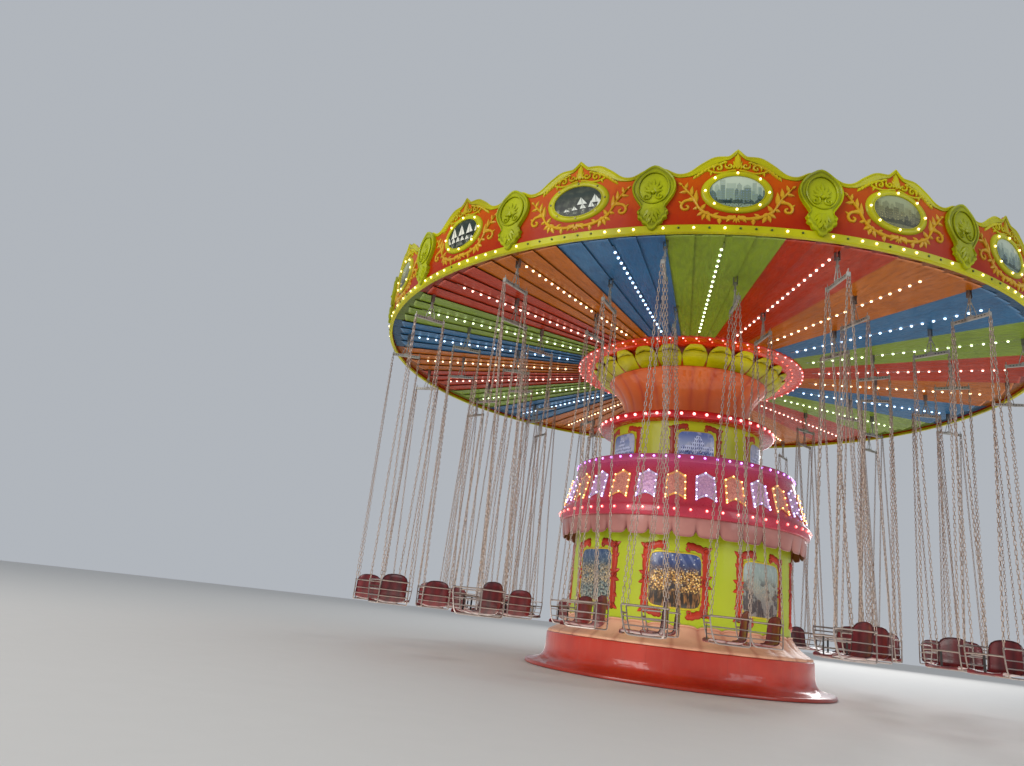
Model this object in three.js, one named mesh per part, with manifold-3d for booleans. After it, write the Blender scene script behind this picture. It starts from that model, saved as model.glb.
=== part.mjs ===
// Chair swing ride: a decorated column that carries a turning canopy with 48 hanging chairs.
// Millimetres, +Z up. The origin is the centre of the base, on the ground.
// An angle of 0 degrees lies on -Y and grows anticlockwise, seen from above.
import * as THREE from "three";
import { mergeVertices } from "three/addons/utils/BufferGeometryUtils.js";
import Module from "manifold-3d";

const wasm = await Module();
wasm.setup();

// Driving dimensions
const size = {
  seam: 0.5, // gap between pieces that rest on each other
  plinthRadius: 2540,
  plinthWallRadius: 2210,
  plinthHeight: 523,
  drumRadius: 1846,
  drumTop: 2420,
  drumWall: 40,
  skirtRadius: 2185, // foot of the lower drum
  valanceRadius: 2075,
  valanceTop: 2420,
  valanceDrop: 278,
  valanceScallops: 36,
  bandBottomRadius: 2150,
  bandTopRadius: 1890,
  bandHeight: 1030,
  mastRadius: 1338,
  mastTop: 4133,
  collarRadius: 1560,
  collarHeight: 145,
  coneTop: 5085,
  petals: 24,
  petalRadius: 1765,
  petalTop: 5359,
  crownInner: 1520,
  crownOuter: 2067,
  ceilingHeight: 5401,
  ceilingThickness: 40,
  ceilingRadius: 5596,
  boardRadius: 5627,
  boardThickness: 30,
  boardBottom: 5318,
  boardPanels: 18,
  boardTurn: -1.45, // angle of the first shield
  roofHeight: 6150,
};

// Rings of chairs: distance from the axis and turn of the first chair
const rings = [
  { name: "outer_chair", radius: 5284, turn: 0 },
  { name: "middle_chair", radius: 4310, turn: 11.25 },
  { name: "inner_chair", radius: 3253, turn: 0 },
];
const chairsPerRing = 16;
const sides = 36; // flats round the column

// One chair with its hanger: u points forward, v away from the axis
const chair = {
  pinHeight: 5300,
  pinRadius: 14,
  pinHalf: 20.5,
  linkHalf: 15,
  barHeight: 4984,
  barHalf: 250,
  barSize: 26,
  railHeight: 990,
  railSize: 24,
  railHalf: 212,
  depthHalf: 236,
  seatHeight: 716,
  seatThickness: 26,
  seatHalf: 200,
  backTop: 1085,
  backThickness: 27,
  lapHeight: 872,
};
const fork = { cheek: 8, gap: 21, width: 46, drop: 135 };

const colours = {
  red: 0xc4241c,
  lime: 0xa9bb12,
  pink: 0xc98a80,
  crimson: 0xb81f2c,
  orange: 0xd2601a,
  scarlet: 0xc03a1c,
  underside: 0x7a5a34,
  board: 0xc8401c,
  roof: 0x8c8a80,
  steel: 0xb9b4b0,
};

// Geometry helpers
const paint = (colour, roughness, metalness) =>
  new THREE.MeshStandardMaterial({ color: colour, roughness, metalness });

function merged(geometry) {
  const plain = geometry.clone();
  for (const name of Object.keys(plain.attributes)) {
    if (name !== "position") plain.deleteAttribute(name);
  }
  return mergeVertices(plain, 1e-3);
}

function signedVolume(geometry) {
  const position = geometry.attributes.position;
  const index = geometry.index.array;
  const [a, b, c] = [new THREE.Vector3(), new THREE.Vector3(), new THREE.Vector3()];
  let sum = 0;
  for (let i = 0; i < index.length; i += 3) {
    a.fromBufferAttribute(position, index[i]);
    b.fromBufferAttribute(position, index[i + 1]);
    c.fromBufferAttribute(position, index[i + 2]);
    sum += a.dot(b.cross(c)) / 6;
  }
  return sum;
}

// Closed, indexed and with its faces pointing out
function closed(geometry) {
  const out = merged(geometry);
  if (signedVolume(out) < 0) {
    const index = out.index.array;
    for (let i = 0; i < index.length; i += 3) {
      [index[i], index[i + 1]] = [index[i + 1], index[i]];
    }
  }
  return out;
}

function toSolid(geometry) {
  const out = closed(geometry);
  return new wasm.Manifold(new wasm.Mesh({
    numProp: 3,
    vertProperties: new Float32Array(out.attributes.position.array),
    triVerts: new Uint32Array(out.index.array),
  }));
}

function fromSolid(solid) {
  const mesh = solid.asOriginal().simplify(0.05).getMesh();
  const out = new THREE.BufferGeometry();
  const points = new Float32Array(mesh.vertProperties);
  out.setAttribute("position", new THREE.BufferAttribute(points, 3));
  out.setIndex(new THREE.BufferAttribute(new Uint32Array(mesh.triVerts), 1));
  out.computeVertexNormals();
  return out;
}

function joined(geometries) {
  return fromSolid(geometries.map(toSolid).reduce((all, next) => all.add(next)));
}

// A profile of [radius, height] points turned about the axis
function revolved(profile, segments) {
  const points = profile.map(([radius, height]) => new THREE.Vector2(radius, height));
  return closed(new THREE.LatheGeometry(points, segments).rotateX(Math.PI / 2));
}

// A closed ring whose section changes with the angle: section(degrees) gives [radius, height]
function variedRing(columns, section) {
  const count = section(0).length;
  const points = [];
  const index = [];
  for (let i = 0; i < columns; i += 1) {
    const angle = (i * 2 * Math.PI) / columns;
    for (const [radius, height] of section(THREE.MathUtils.radToDeg(angle))) {
      points.push(radius * Math.sin(angle), -radius * Math.cos(angle), height);
    }
    const here = i * count;
    const next = ((i + 1) % columns) * count;
    for (let j = 0; j < count; j += 1) {
      const k = (j + 1) % count;
      index.push(here + j, next + j, next + k, here + j, next + k, here + k);
    }
  }
  const out = new THREE.BufferGeometry();
  out.setAttribute("position", new THREE.Float32BufferAttribute(points, 3));
  out.setIndex(index);
  return closed(out);
}

function box(u0, u1, v0, v1, z0, z1) {
  const out = new THREE.BoxGeometry(u1 - u0, v1 - v0, z1 - z0);
  return out.translate((u0 + u1) / 2, (v0 + v1) / 2, (z0 + z1) / 2);
}

function rod(from, to, radius, sides) {
  const start = new THREE.Vector3(...from);
  const end = new THREE.Vector3(...to);
  const out = new THREE.CylinderGeometry(radius, radius, start.distanceTo(end), sides);
  const turn = new THREE.Quaternion().setFromUnitVectors(
    new THREE.Vector3(0, 1, 0),
    end.clone().sub(start).normalize(),
  );
  return out.applyQuaternion(turn).translate(...start.add(end).multiplyScalar(0.5).toArray());
}

// An outline in the u-z plane, as thick as the stretch from v0 to v1
function plate(outline, v0, v1) {
  const shape = new THREE.Shape(outline.map(([u, z]) => new THREE.Vector2(u, z)));
  const out = new THREE.ExtrudeGeometry(shape, { depth: v1 - v0, bevelEnabled: false });
  return out.rotateX(Math.PI / 2).translate(0, v1, 0);
}

// Column
const plinth = revolved([
  [0, 0],
  [size.plinthRadius, 0],
  [size.plinthRadius, 45],
  [2440, 95],
  [2310, 180],
  [2230, 300],
  [size.plinthWallRadius, size.plinthHeight],
  [0, size.plinthHeight],
], sides);

const drumFloor = size.plinthHeight + size.seam;
const lowerDrum = revolved([
  [size.drumRadius - size.drumWall, drumFloor],
  [size.skirtRadius, drumFloor],
  [2120, 585],
  [1985, 680],
  [1890, 790],
  [size.drumRadius, 900],
  [size.drumRadius, size.drumTop],
  [size.drumRadius - size.drumWall, size.drumTop],
  [size.drumRadius - size.drumWall, drumFloor],
], sides);

const bandFloor = size.drumTop + size.seam;
const bandTop = bandFloor + size.bandHeight;
const slopedBand = revolved([
  [size.drumRadius - 60, bandFloor],
  [size.bandBottomRadius, bandFloor],
  [size.bandBottomRadius - 8, bandFloor + 150],
  [size.bandTopRadius, bandTop - 95],
  [size.bandTopRadius, bandTop],
  [size.mastRadius + 8, bandTop],
  [size.mastRadius + 8, bandTop - 40],
  [size.bandTopRadius - 60, bandTop - 60],
  [size.bandBottomRadius - 110, bandFloor + 45],
  [size.drumRadius - 60, bandFloor + 45],
  [size.drumRadius - 60, bandFloor],
], sides);

// The valance hangs from the band and ends in round scallops
const scallopPitch = 360 / size.valanceScallops;
function valanceSection(degrees) {
  const along = ((degrees / scallopPitch) % 1) * 2 - 1;
  const lift = 62 * along ** 4;
  const low = size.valanceTop - size.valanceDrop + lift;
  const lean = 22;
  return [
    [size.valanceRadius - 14, size.valanceTop],
    [size.valanceRadius - 14 - lean, low],
    [size.valanceRadius - lean, low],
    [size.valanceRadius, size.valanceTop],
  ];
}
const valance = variedRing(size.valanceScallops * 2, valanceSection);

const mastFloor = size.plinthHeight + size.seam;
const upperDrum = revolved([
  [size.mastRadius - 60, mastFloor],
  [size.mastRadius, mastFloor],
  [size.mastRadius, size.mastTop],
  [0, size.mastTop],
  [0, size.mastTop - 40],
  [size.mastRadius - 60, size.mastTop - 40],
  [size.mastRadius - 60, mastFloor],
], sides);

const collarFloor = size.mastTop + size.seam;
const collarTop = collarFloor + size.collarHeight;
const lampCollar = revolved([
  [0, collarFloor],
  [size.mastRadius, collarFloor],
  [size.collarRadius - 18, collarFloor + 10],
  [size.collarRadius, collarFloor + 50],
  [size.collarRadius - 14, collarTop - 18],
  [size.collarRadius - 90, collarTop],
  [0, collarTop],
], sides);

// The cone turns on a pivot 6 mm proud of its foot
const flaredCone = revolved([
  [0, collarTop + size.seam],
  [300, collarTop + size.seam],
  [300, collarTop + 6.5],
  [1060, collarTop + 6.5],
  [1092, 4460],
  [1147, 4646],
  [1221, 4800],
  [1318, 4940],
  [1435, size.coneTop],
  [0, size.coneTop],
], sides);

// Petals stand round the top of the cone and bulge outwards
const petalPitch = 360 / size.petals;
function petalSection(degrees) {
  const along = Math.abs((((degrees / petalPitch) % 1) + 1) % 1 * 2 - 1);
  const pinch = 1 - along ** 3;
  const foot = size.coneTop + size.seam;
  const bulge = size.petalRadius - 70 * pinch;
  const high = size.petalTop - 45 * pinch;
  return [
    [1440, foot],
    [1590 - 20 * pinch, foot + 60],
    [bulge, foot + 190],
    [bulge - 30, high],
    [1500, high],
    [1420, foot],
  ];
}
const petalRing = variedRing(size.petals * 3, petalSection);

// Canopy
const crownTop = size.ceilingHeight - size.seam;
const crownRing = revolved([
  [size.crownInner, size.petalTop + size.seam],
  [size.crownOuter - 12, size.petalTop + size.seam],
  [size.crownOuter, size.petalTop + 14],
  [size.crownOuter, crownTop],
  [size.crownInner, crownTop],
  [size.crownInner, size.petalTop + size.seam],
], sides);

// Ceiling of coloured panels, with a fork under it for each hanger
function forkCheeks(radius, degrees) {
  return [-1, 1].map((side) => {
    const inner = side * fork.gap;
    const outer = side * (fork.gap + fork.cheek);
    const cheek = box(
      Math.min(inner, outer),
      Math.max(inner, outer),
      -fork.width / 2,
      fork.width / 2,
      size.ceilingHeight - fork.drop,
      size.ceilingHeight + 5,
    );
    return placed(cheek, radius, degrees);
  });
}

// Turns a piece from chair axes (u forward, v out) into place on its ring
function placed(geometry, radius, degrees) {
  const angle = THREE.MathUtils.degToRad(degrees);
  return geometry.translate(0, radius, 0).rotateZ(Math.PI + angle);
}

const seats = rings.flatMap((ring) => Array.from({ length: chairsPerRing }, (_, i) => ({
  name: `${ring.name}_${String(i + 1).padStart(2, "0")}`,
  radius: ring.radius,
  degrees: ring.turn + (i * 360) / chairsPerRing,
})));

const ceilingPlate = revolved([
  [size.crownInner, size.ceilingHeight],
  [size.ceilingRadius, size.ceilingHeight],
  [size.ceilingRadius, size.ceilingHeight + size.ceilingThickness],
  [size.crownInner, size.ceilingHeight + size.ceilingThickness],
  [size.crownInner, size.ceilingHeight],
], 72);
const forks = seats.flatMap((seat) => forkCheeks(seat.radius, seat.degrees));
const ceiling = joined([ceilingPlate, ...forks]);

// Rounding boards: each panel rises to a crest, and a shield stands between two panels
const panelPitch = 360 / size.boardPanels;
const crestOutline = [
  [0, 6460],
  [0.7, 6375],
  [2.0, 6347],
  [3.2, 6322],
  [4.4, 6238],
  [5.6, 6140],
  [6.6, 6104],
  [7.3, 6108],
  [8.2, 6185],
  [9.1, 6228],
  [10, 6240],
];
function boardTop(degrees) {
  const turned = (((degrees - size.boardTurn) / panelPitch) % 1 + 1) % 1;
  const fromCrest = Math.abs(turned - 0.5) * panelPitch;
  for (let i = 1; i < crestOutline.length; i += 1) {
    const [a0, z0] = crestOutline[i - 1];
    const [a1, z1] = crestOutline[i];
    if (fromCrest <= a1) return z0 + ((z1 - z0) * (fromCrest - a0)) / (a1 - a0);
  }
  return crestOutline[crestOutline.length - 1][1];
}
function boardSection(degrees) {
  const outer = size.boardRadius;
  const inner = size.boardRadius - size.boardThickness;
  return [
    [outer, size.boardBottom],
    [outer, boardTop(degrees)],
    [inner, boardTop(degrees)],
    [inner, size.boardBottom],
  ];
}
const roundingBoard = variedRing(size.boardPanels * 12, (degrees) =>
  boardSection(degrees + size.boardTurn)).rotateZ(THREE.MathUtils.degToRad(size.boardTurn));

const roofFoot = size.ceilingHeight + size.ceilingThickness + size.seam;
const roofCover = revolved([
  [0, size.roofHeight - 30],
  [size.ceilingRadius - 40, roofFoot],
  [size.ceilingRadius, roofFoot],
  [size.ceilingRadius, roofFoot + 30],
  [0, size.roofHeight],
], sides);

// Hanging chair
function chairSolid() {
  const c = chair;
  const half = c.depthHalf;
  const rail = c.railSize;
  const bar = c.barSize / 2;
  const railTop = c.railHeight + rail / 2;
  const railLow = c.railHeight - rail / 2;
  const seatLow = c.seatHeight - c.seatThickness;
  const front = half - rail;

  const seatAndBack = plate([
    [half, seatLow],
    [half, c.seatHeight],
    [-half + 52, c.seatHeight],
    [-half + c.backThickness, c.backTop],
    [-half, c.backTop],
    [-half, seatLow],
  ], -c.seatHalf, c.seatHalf);

  // Rail along each side, bent down in front to the edge of the seat
  const sideRails = [-1, 1].map((side) => plate([
    [-half, railLow],
    [-half, railTop],
    [half, railTop],
    [half, seatLow],
    [front, seatLow],
    [front, railLow],
  ], side > 0 ? c.seatHalf : -c.seatHalf - rail, side > 0 ? c.seatHalf + rail : -c.seatHalf));

  // Two taut hangers from each end of the spreader bar to the corners of the rail
  const hangers = [-1, 1].map((side) => {
    const lean = (c.barHalf - 14 - c.railHalf) / (c.barHeight - c.railHeight);
    const pair = plate([
      [-10, c.barHeight],
      [10, c.barHeight],
      [half - 4, c.railHeight],
      [half - 28, c.railHeight],
      [0, c.barHeight - 190],
      [-half + 28, c.railHeight],
      [-half + 4, c.railHeight],
    ], -8, 8);
    pair.translate(0, 0, -c.railHeight);
    const shear = new THREE.Matrix4().set(1, 0, 0, 0, 0, 1, side * lean, 0, 0, 0, 1, 0, 0, 0, 0, 1);
    return pair.applyMatrix4(shear).translate(0, side * c.railHalf, c.railHeight);
  });

  // Spreader bar with the link that rises from it to the pin
  const spreader = plate([
    [-c.barHalf, c.barHeight - bar],
    [-c.barHalf, c.barHeight + bar],
    [-17, c.barHeight + bar],
    [-17, c.pinHeight + 20],
    [17, c.pinHeight + 20],
    [17, c.barHeight + bar],
    [c.barHalf, c.barHeight + bar],
    [c.barHalf, c.barHeight - bar],
  ], -c.linkHalf, c.linkHalf).rotateZ(Math.PI / 2);
  const pin = rod([-c.pinHalf, 0, c.pinHeight], [c.pinHalf, 0, c.pinHeight], c.pinRadius, 5);
  const lapBar = box(front + 4, half - 4, -c.seatHalf, c.seatHalf, c.lapHeight - 8, c.lapHeight + 8);
  return joined([seatAndBack, ...sideRails, ...hangers, spreader, pin, lapBar]);
}
const chairShape = chairSolid();

// Scene graph
const ride = new THREE.Group();
ride.name = "chair_swing_ride";

function add(parent, name, geometry, material) {
  const mesh = new THREE.Mesh(geometry, material);
  mesh.name = name;
  parent.add(mesh);
  return mesh;
}

const base = new THREE.Group();
add(base, "base_plinth", plinth, paint(colours.red, 0.3, 0));
add(base, "lower_drum", lowerDrum, paint(colours.lime, 0.35, 0));
add(base, "scalloped_valance", valance, paint(colours.pink, 0.5, 0));
add(base, "sloped_band", slopedBand, paint(colours.crimson, 0.35, 0));
ride.add(base);

const mast = new THREE.Group();
add(mast, "upper_drum", upperDrum, paint(colours.lime, 0.35, 0));
add(mast, "lamp_collar", lampCollar, paint(colours.red, 0.35, 0));
ride.add(mast);

const canopy = new THREE.Group();
add(canopy, "flared_cone", flaredCone, paint(colours.orange, 0.3, 0));
add(canopy, "petal_ring", petalRing, paint(colours.lime, 0.35, 0));
add(canopy, "crown_ring", crownRing, paint(colours.scarlet, 0.4, 0));
add(canopy, "ceiling_panels", ceiling, paint(colours.underside, 0.5, 0));
add(canopy, "rounding_boards", roundingBoard, paint(colours.board, 0.4, 0));
add(canopy, "roof_cover", roofCover, paint(colours.roof, 0.7, 0));
for (const seat of seats) {
  const arm = new THREE.Group();
  arm.rotation.z = Math.PI + THREE.MathUtils.degToRad(seat.degrees);
  const mesh = add(arm, seat.name, chairShape.clone(), paint(colours.steel, 0.3, 0.8));
  mesh.position.y = seat.radius;
  canopy.add(arm);
}
ride.add(canopy);

export default ride;
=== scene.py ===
import math

import bpy
import numpy as np
from mathutils import Matrix


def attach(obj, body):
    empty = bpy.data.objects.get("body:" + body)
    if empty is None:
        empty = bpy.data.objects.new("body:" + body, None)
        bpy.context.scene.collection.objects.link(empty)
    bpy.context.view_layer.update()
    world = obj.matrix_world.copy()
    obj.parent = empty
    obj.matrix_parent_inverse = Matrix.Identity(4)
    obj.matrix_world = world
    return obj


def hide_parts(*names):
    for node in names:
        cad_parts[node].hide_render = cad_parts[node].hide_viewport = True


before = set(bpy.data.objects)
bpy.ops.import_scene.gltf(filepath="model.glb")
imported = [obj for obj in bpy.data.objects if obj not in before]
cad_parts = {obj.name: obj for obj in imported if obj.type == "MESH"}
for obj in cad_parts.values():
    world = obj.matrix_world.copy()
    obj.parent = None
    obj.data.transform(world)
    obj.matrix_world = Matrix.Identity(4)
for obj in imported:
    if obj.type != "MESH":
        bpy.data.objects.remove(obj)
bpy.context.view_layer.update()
print("frame loaded")

rng = np.random.default_rng(11)
mm = 0.001
sharpAngle = 38


# Shapes. A shape is a dictionary of arrays: points, four-cornered faces, and for each corner of a
# face a map place (uv) and a tone, a number that its finish may read.

def patch(points, alongWraps=False, acrossWraps=False, uv=None, tone=None):
    # Joins points[i, j] to their neighbours, and to the first ones where it wraps. The faces turn
    # outwards: their order is reversed where the volume under them comes out negative.
    points = np.asarray(points, float)
    rows, columns = points.shape[:2]
    ids = np.arange(rows * columns).reshape(rows, columns)
    if alongWraps:
        ids = np.vstack([ids, ids[:1]])
    if acrossWraps:
        ids = np.hstack([ids, ids[:, :1]])

    def corners(grid):
        rings = [grid[:-1, :-1], grid[:-1, 1:], grid[1:, 1:], grid[1:, :-1]]
        return np.stack(rings, 2).reshape(-1, 4, *grid.shape[2:])

    faces = corners(ids)
    if uv is None:
        along, across = np.indices(ids.shape)
        uv = np.stack([along / (ids.shape[0] - 1), across / (ids.shape[1] - 1)], -1)
    tone = np.zeros(ids.shape) if tone is None else np.broadcast_to(tone, ids.shape)
    uv, tone = corners(uv), corners(tone)
    flat = points.reshape(-1, 3)
    spots = flat[faces]
    spans = np.cross(spots[:, 2] - spots[:, 0], spots[:, 3] - spots[:, 1])
    if ((spots.mean(1) - flat.mean(0)) * spans).sum() < 0:
        faces, uv, tone = faces[:, ::-1], uv[:, ::-1], tone[:, ::-1]
    return {"points": flat, "faces": faces, "uv": uv, "tone": tone, "slot": np.zeros(len(faces), int)}


def group(*shapes):
    # Several shapes as one: each shape's faces count on from the points before it
    starts = np.cumsum([0] + [len(shape["points"]) for shape in shapes])[:-1]
    joined = {key: np.concatenate([shape[key] for shape in shapes])
              for key in ("points", "uv", "tone", "slot")}
    joined["faces"] = np.concatenate([shape["faces"] + start for shape, start in zip(shapes, starts)])
    return joined


def repeated(shape, places, mirrored=False, tones=None):
    # Copies of a shape: places[k] holds the points of copy k. A mirrored copy has its faces reversed.
    count, size = places.shape[:2]
    faces = shape["faces"][None] + (np.arange(count) * size)[:, None, None]
    uv = np.broadcast_to(shape["uv"], (count, *shape["uv"].shape))
    tone = np.broadcast_to(shape["tone"], (count, *shape["tone"].shape))
    if tones is not None:
        tone = tone * 0 + np.asarray(tones)[:, None, None]
    if mirrored:
        faces, uv, tone = faces[:, :, ::-1], uv[:, :, ::-1], tone[:, :, ::-1]
    return {"points": places.reshape(-1, 3), "faces": faces.reshape(-1, 4), "uv": uv.reshape(-1, 4, 2),
            "tone": tone.reshape(-1, 4), "slot": np.tile(shape["slot"], count)}


def flipped(shape):
    # The same shape seen in a mirror: across changes sign and the faces keep looking out
    return {**shape, "points": shape["points"] * (-1, 1, 1), "faces": shape["faces"][:, ::-1],
            "uv": shape["uv"][:, ::-1], "tone": shape["tone"][:, ::-1]}


def slotted(shape, slots):
    # The same shape with its faces in other slots, shared out evenly in their order
    slots = np.atleast_1d(slots)
    return {**shape, "slot": np.repeat(slots, len(shape["faces"]) // len(slots))}


def shifted(shape, across=0.0, out=0.0, up=0.0, turn=0.0):
    # Turns a flat shape in its own plane (degrees, from across towards up) and moves it
    a = math.radians(turn)
    spin = np.array([[math.cos(a), 0, math.sin(a)], [0, 1, 0], [-math.sin(a), 0, math.cos(a)]])
    return {**shape, "points": shape["points"] @ spin + (across, out, up)}


def evenly(count, first=0.0):
    # The angles, in degrees, of things spread evenly round the axis
    return first + np.arange(count) * 360 / count


def onRing(shape, radius, degrees, tones=None):
    # Bends a flat shape [across, out, up] round the axis, once for each angle: it turns by the angle
    # plus across / radius and reaches radius + out. The radius may depend on the height.
    across, out, up = shape["points"].T
    reach = (radius(up) if callable(radius) else radius + 0 * up)
    turn = np.radians(np.atleast_1d(degrees))[:, None] + across / reach
    places = np.stack([(reach + out) * np.sin(turn), -(reach + out) * np.cos(turn), up + 0 * turn], -1)
    return repeated(shape, places, mirrored=True, tones=tones)


def aroundAxis(shape, degrees):
    # Copies of a shape turned about the axis
    turn = np.radians(degrees)[:, None]
    x, y, z = shape["points"].T
    cos, sin = np.cos(turn), np.sin(turn)
    return repeated(shape, np.stack([x * cos - y * sin, x * sin + y * cos, z + 0 * turn], -1))


def polar(radius, degrees, height):
    angle = np.radians(degrees)
    return np.stack(np.broadcast_arrays(radius * np.sin(angle), -radius * np.cos(angle), height), -1)


def curveThrough(knots, count, closed=False):
    # A smooth line through the knots: a cubic whose slope at each is half the span between its neighbours
    knots = np.asarray(knots, float)
    if closed:
        padded = np.concatenate([knots[-1:], knots, knots[:2]])
    else:
        padded = np.concatenate([2 * knots[:1] - knots[1:2], knots, 2 * knots[-1:] - knots[-2:-1]])
    spans = len(padded) - 3
    place = np.linspace(0, spans, count, endpoint=not closed)
    cell = np.minimum(place.astype(int), spans - 1)
    t = (place - cell)[:, None]
    a, b, c, d = (padded[cell + k] for k in range(4))
    return 0.5 * (2 * b + (c - a) * t + (2 * a - 5 * b + 4 * c - d) * t**2 + (3 * b - a - 3 * c + d) * t**3)


def turned(profile, columns, swell=None, tone=None):
    # A [radius, height] outline carried round the axis. swell(turn, step) adds to its radius and
    # tone(turn, step) is its tone, where step runs from 0 to 1 along the outline.
    profile = np.asarray(profile, float)
    turn = evenly(columns)[:, None]
    radius = profile[:, 0] + 0 * turn
    if swell:
        radius = radius + swell(turn, np.linspace(0, 1, len(profile))[None])
    if tone:
        turns = np.append(turn, 360.0)[:, None]
        tone = tone(turns, np.linspace(0, 1, len(profile) + 1)[None]) + 0 * turns
    return patch(polar(radius, turn, profile[:, 1] + 0 * turn), True, True, tone=tone)


def strand(path, width, depth, base=0.0, closed=False, ribs=7, edge=0.7):
    # A raised strand: half an ellipse, width across and depth high, carried along a flat path of
    # [across, up]. An open one closes to a point at each end. The tone rises to edge at its foot: painted
    # shade where the strand meets its ground.
    path = np.asarray(path, float)
    step = np.roll(path, -1, 0) - np.roll(path, 1, 0) if closed else np.gradient(path, axis=0)
    side = np.stack([-step[:, 1], step[:, 0]], 1) / np.maximum(np.linalg.norm(step, axis=1), 1e-9)[:, None]
    angle = np.linspace(0, np.pi, ribs)
    width, depth = (np.broadcast_to(np.asarray(value, float), len(path)) for value in (width, depth))
    place = path[:, None] + side[:, None] * (np.cos(angle) * width[:, None] / 2)[..., None]
    out = base + np.sin(angle) * depth[:, None]
    points = np.stack([place[..., 0], out, place[..., 1]], -1)
    if not closed:
        ends = [np.broadcast_to([path[k][0], base, path[k][1]], (1, ribs, 3)) for k in (0, -1)]
        points = np.concatenate([ends[0], points, ends[1]])
    return patch(points, closed, True, tone=edge * np.abs(np.cos(np.append(angle, 0.0))) ** 3)


def leaf(length, width, depth, bend=0.0, base=0.0):
    # A leaf along +up from its foot: its width goes as the sine of a skewed length, and it leans by
    # bend times the length squared
    t = np.array([0, 0.14, 0.32, 0.54, 0.78, 1])
    path = np.stack([bend * t**2, length * t], 1)
    thick = depth * np.sin(np.pi * t**0.6) + 1
    return strand(path, width * np.sin(np.pi * t**0.75) + 1, thick, base, ribs=4)


def scroll(radius, turns, width, depth, start=0.0):
    # A spiral that narrows to its eye: its reach is radius (0.12 + 0.88 (1 - t)^1.4)
    t = np.linspace(0, 1, int(15 * turns) + 6)
    angle = np.radians(start) + 2 * np.pi * turns * t
    reach = radius * (0.12 + 0.88 * (1 - t) ** 1.4)
    path = np.stack([reach * np.cos(angle), reach * np.sin(angle)], 1)
    return strand(path, width * (1 - 0.55 * t) * np.minimum(1, 6 * t + 0.2), depth * (1 - 0.4 * t), ribs=5)


def boss(outline, steps, middle=(0.0, 0.0)):
    # A filled form: the outline [across, up] drawn in towards its middle. steps holds [scale, out,
    # tone] from the middle of the front to the rim; it closes behind at out 0.
    outline = np.asarray(outline, float)
    steps = np.asarray([*steps, (steps[-1][0], 0, 0), (0, 0, 0)], float)
    steps, tone = steps[:, :2], steps[:, 2]
    place = np.asarray(middle) + steps[:, None, :1] * (outline - middle)
    points = np.stack([place[..., 0], np.broadcast_to(steps[:, 1:], place.shape[:2]), place[..., 1]], -1)
    low, high = outline.min(0), outline.max(0)
    uv = (np.concatenate([place, place[:, :1]], 1) - low) / (high - low)
    return patch(points, False, True, uv=uv, tone=tone[:, None])


def oval(width, height, count=40, power=2.0, middle=(0.0, 0.0)):
    # |x / a|^power + |y / b|^power = 1: an ellipse at 2, a rounded rectangle at 6 and more
    angle = np.arange(count) * 2 * np.pi / count
    reach = (np.abs(np.cos(angle)) ** power + np.abs(np.sin(angle)) ** power) ** (-1 / power)
    return np.stack([width / 2 * np.cos(angle) * reach, height / 2 * np.sin(angle) * reach], 1) + middle


def tube(path, radius, sides=8, side=(0, 0, 1), closed=False, tone=0.0):
    # A round bar along a path in space. Its section turns with the path about the given side.
    path = np.asarray(path, float)
    step = np.roll(path, -1, 0) - np.roll(path, 1, 0) if closed else np.gradient(path, axis=0)
    step = step / np.linalg.norm(step, axis=1, keepdims=True)
    first = np.cross(step, side)
    first = first / np.maximum(np.linalg.norm(first, axis=1, keepdims=True), 1e-9)
    second = np.cross(step, first)
    angle = np.arange(sides) * 2 * np.pi / sides
    radius = np.broadcast_to(np.asarray(radius, float), len(path))[:, None, None]
    ring = np.cos(angle)[:, None] * first[:, None] + np.sin(angle)[:, None] * second[:, None]
    points = path[:, None] + radius * ring
    if not closed:
        caps = [np.repeat(path[[k]][:, None], sides, 1) for k in (0, -1)]
        points = np.concatenate([caps[0], points, caps[1]])
    return patch(points, closed, True, tone=tone)


def slab(low, high, ease=0.12):
    # A bar between two corners with its edges cut: squares with cut corners, stacked from end to end
    low, high = np.asarray(low, float), np.asarray(high, float)
    half, middle = (high - low) / 2, (high + low) / 2
    cut = ease * min(half)
    x, y = 1 - cut / half[:2]
    edge = np.array([(1, -y), (1, y), (x, 1), (-x, 1), (-1, y), (-1, -y), (-x, -1), (x, -1)])
    end, top = 1 - cut / min(half[:2]), half[2]
    rows = [(0, -top), (end, -top), (1, cut - top), (1, top - cut), (end, top), (0, top)]
    points = [np.column_stack([edge * half[:2] * scale, np.full(8, height)]) for scale, height in rows]
    return patch(np.stack(points) + middle, False, True)


def bulb(sides):
    # A lamp cap of radius 1: a dome over a short neck, facing out
    dome = [(math.sin(a), 0.35 + 0.85 * math.cos(a)) for a in np.linspace(0, np.pi / 2, 3)]
    turn = np.arange(sides) * 2 * np.pi / sides
    points = [np.stack([reach * np.cos(turn), np.full(sides, out), reach * np.sin(turn)], 1)
              for reach, out in (*dome, (1.0, 0.0), (0.0, 0.0))]
    return patch(np.stack(points), False, True)


def placed(shape, spots, axes, tones=None):
    # A copy of a shape at each spot, turned so that its three axes point along axes[k]
    return repeated(shape, spots[:, None] + np.einsum("pi,kij->kpj", shape["points"], axes), tones=tones)


def facing(spots, outward):
    # Axes for things that stand on a surface: [across, out, up], with up leaning to the sky, or
    # away from the axis where the surface is level
    outward = np.broadcast_to(np.asarray(outward, float), spots.shape)
    outward = outward / np.linalg.norm(outward, axis=1, keepdims=True)
    up = np.array([0.0, 0.0, 1.0]) - outward * outward[:, 2:]
    level = np.linalg.norm(up, axis=1) < 1e-3
    up[level] = spots[level] * (1, 1, 0)
    up = up / np.linalg.norm(up, axis=1, keepdims=True)
    return np.stack([np.cross(outward, up), outward, up], 1)


def outwards(degrees, rise=0.0):
    # The direction away from the axis at each angle, leaning up by rise
    return polar(1.0, np.asarray(degrees, float), rise)


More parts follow.
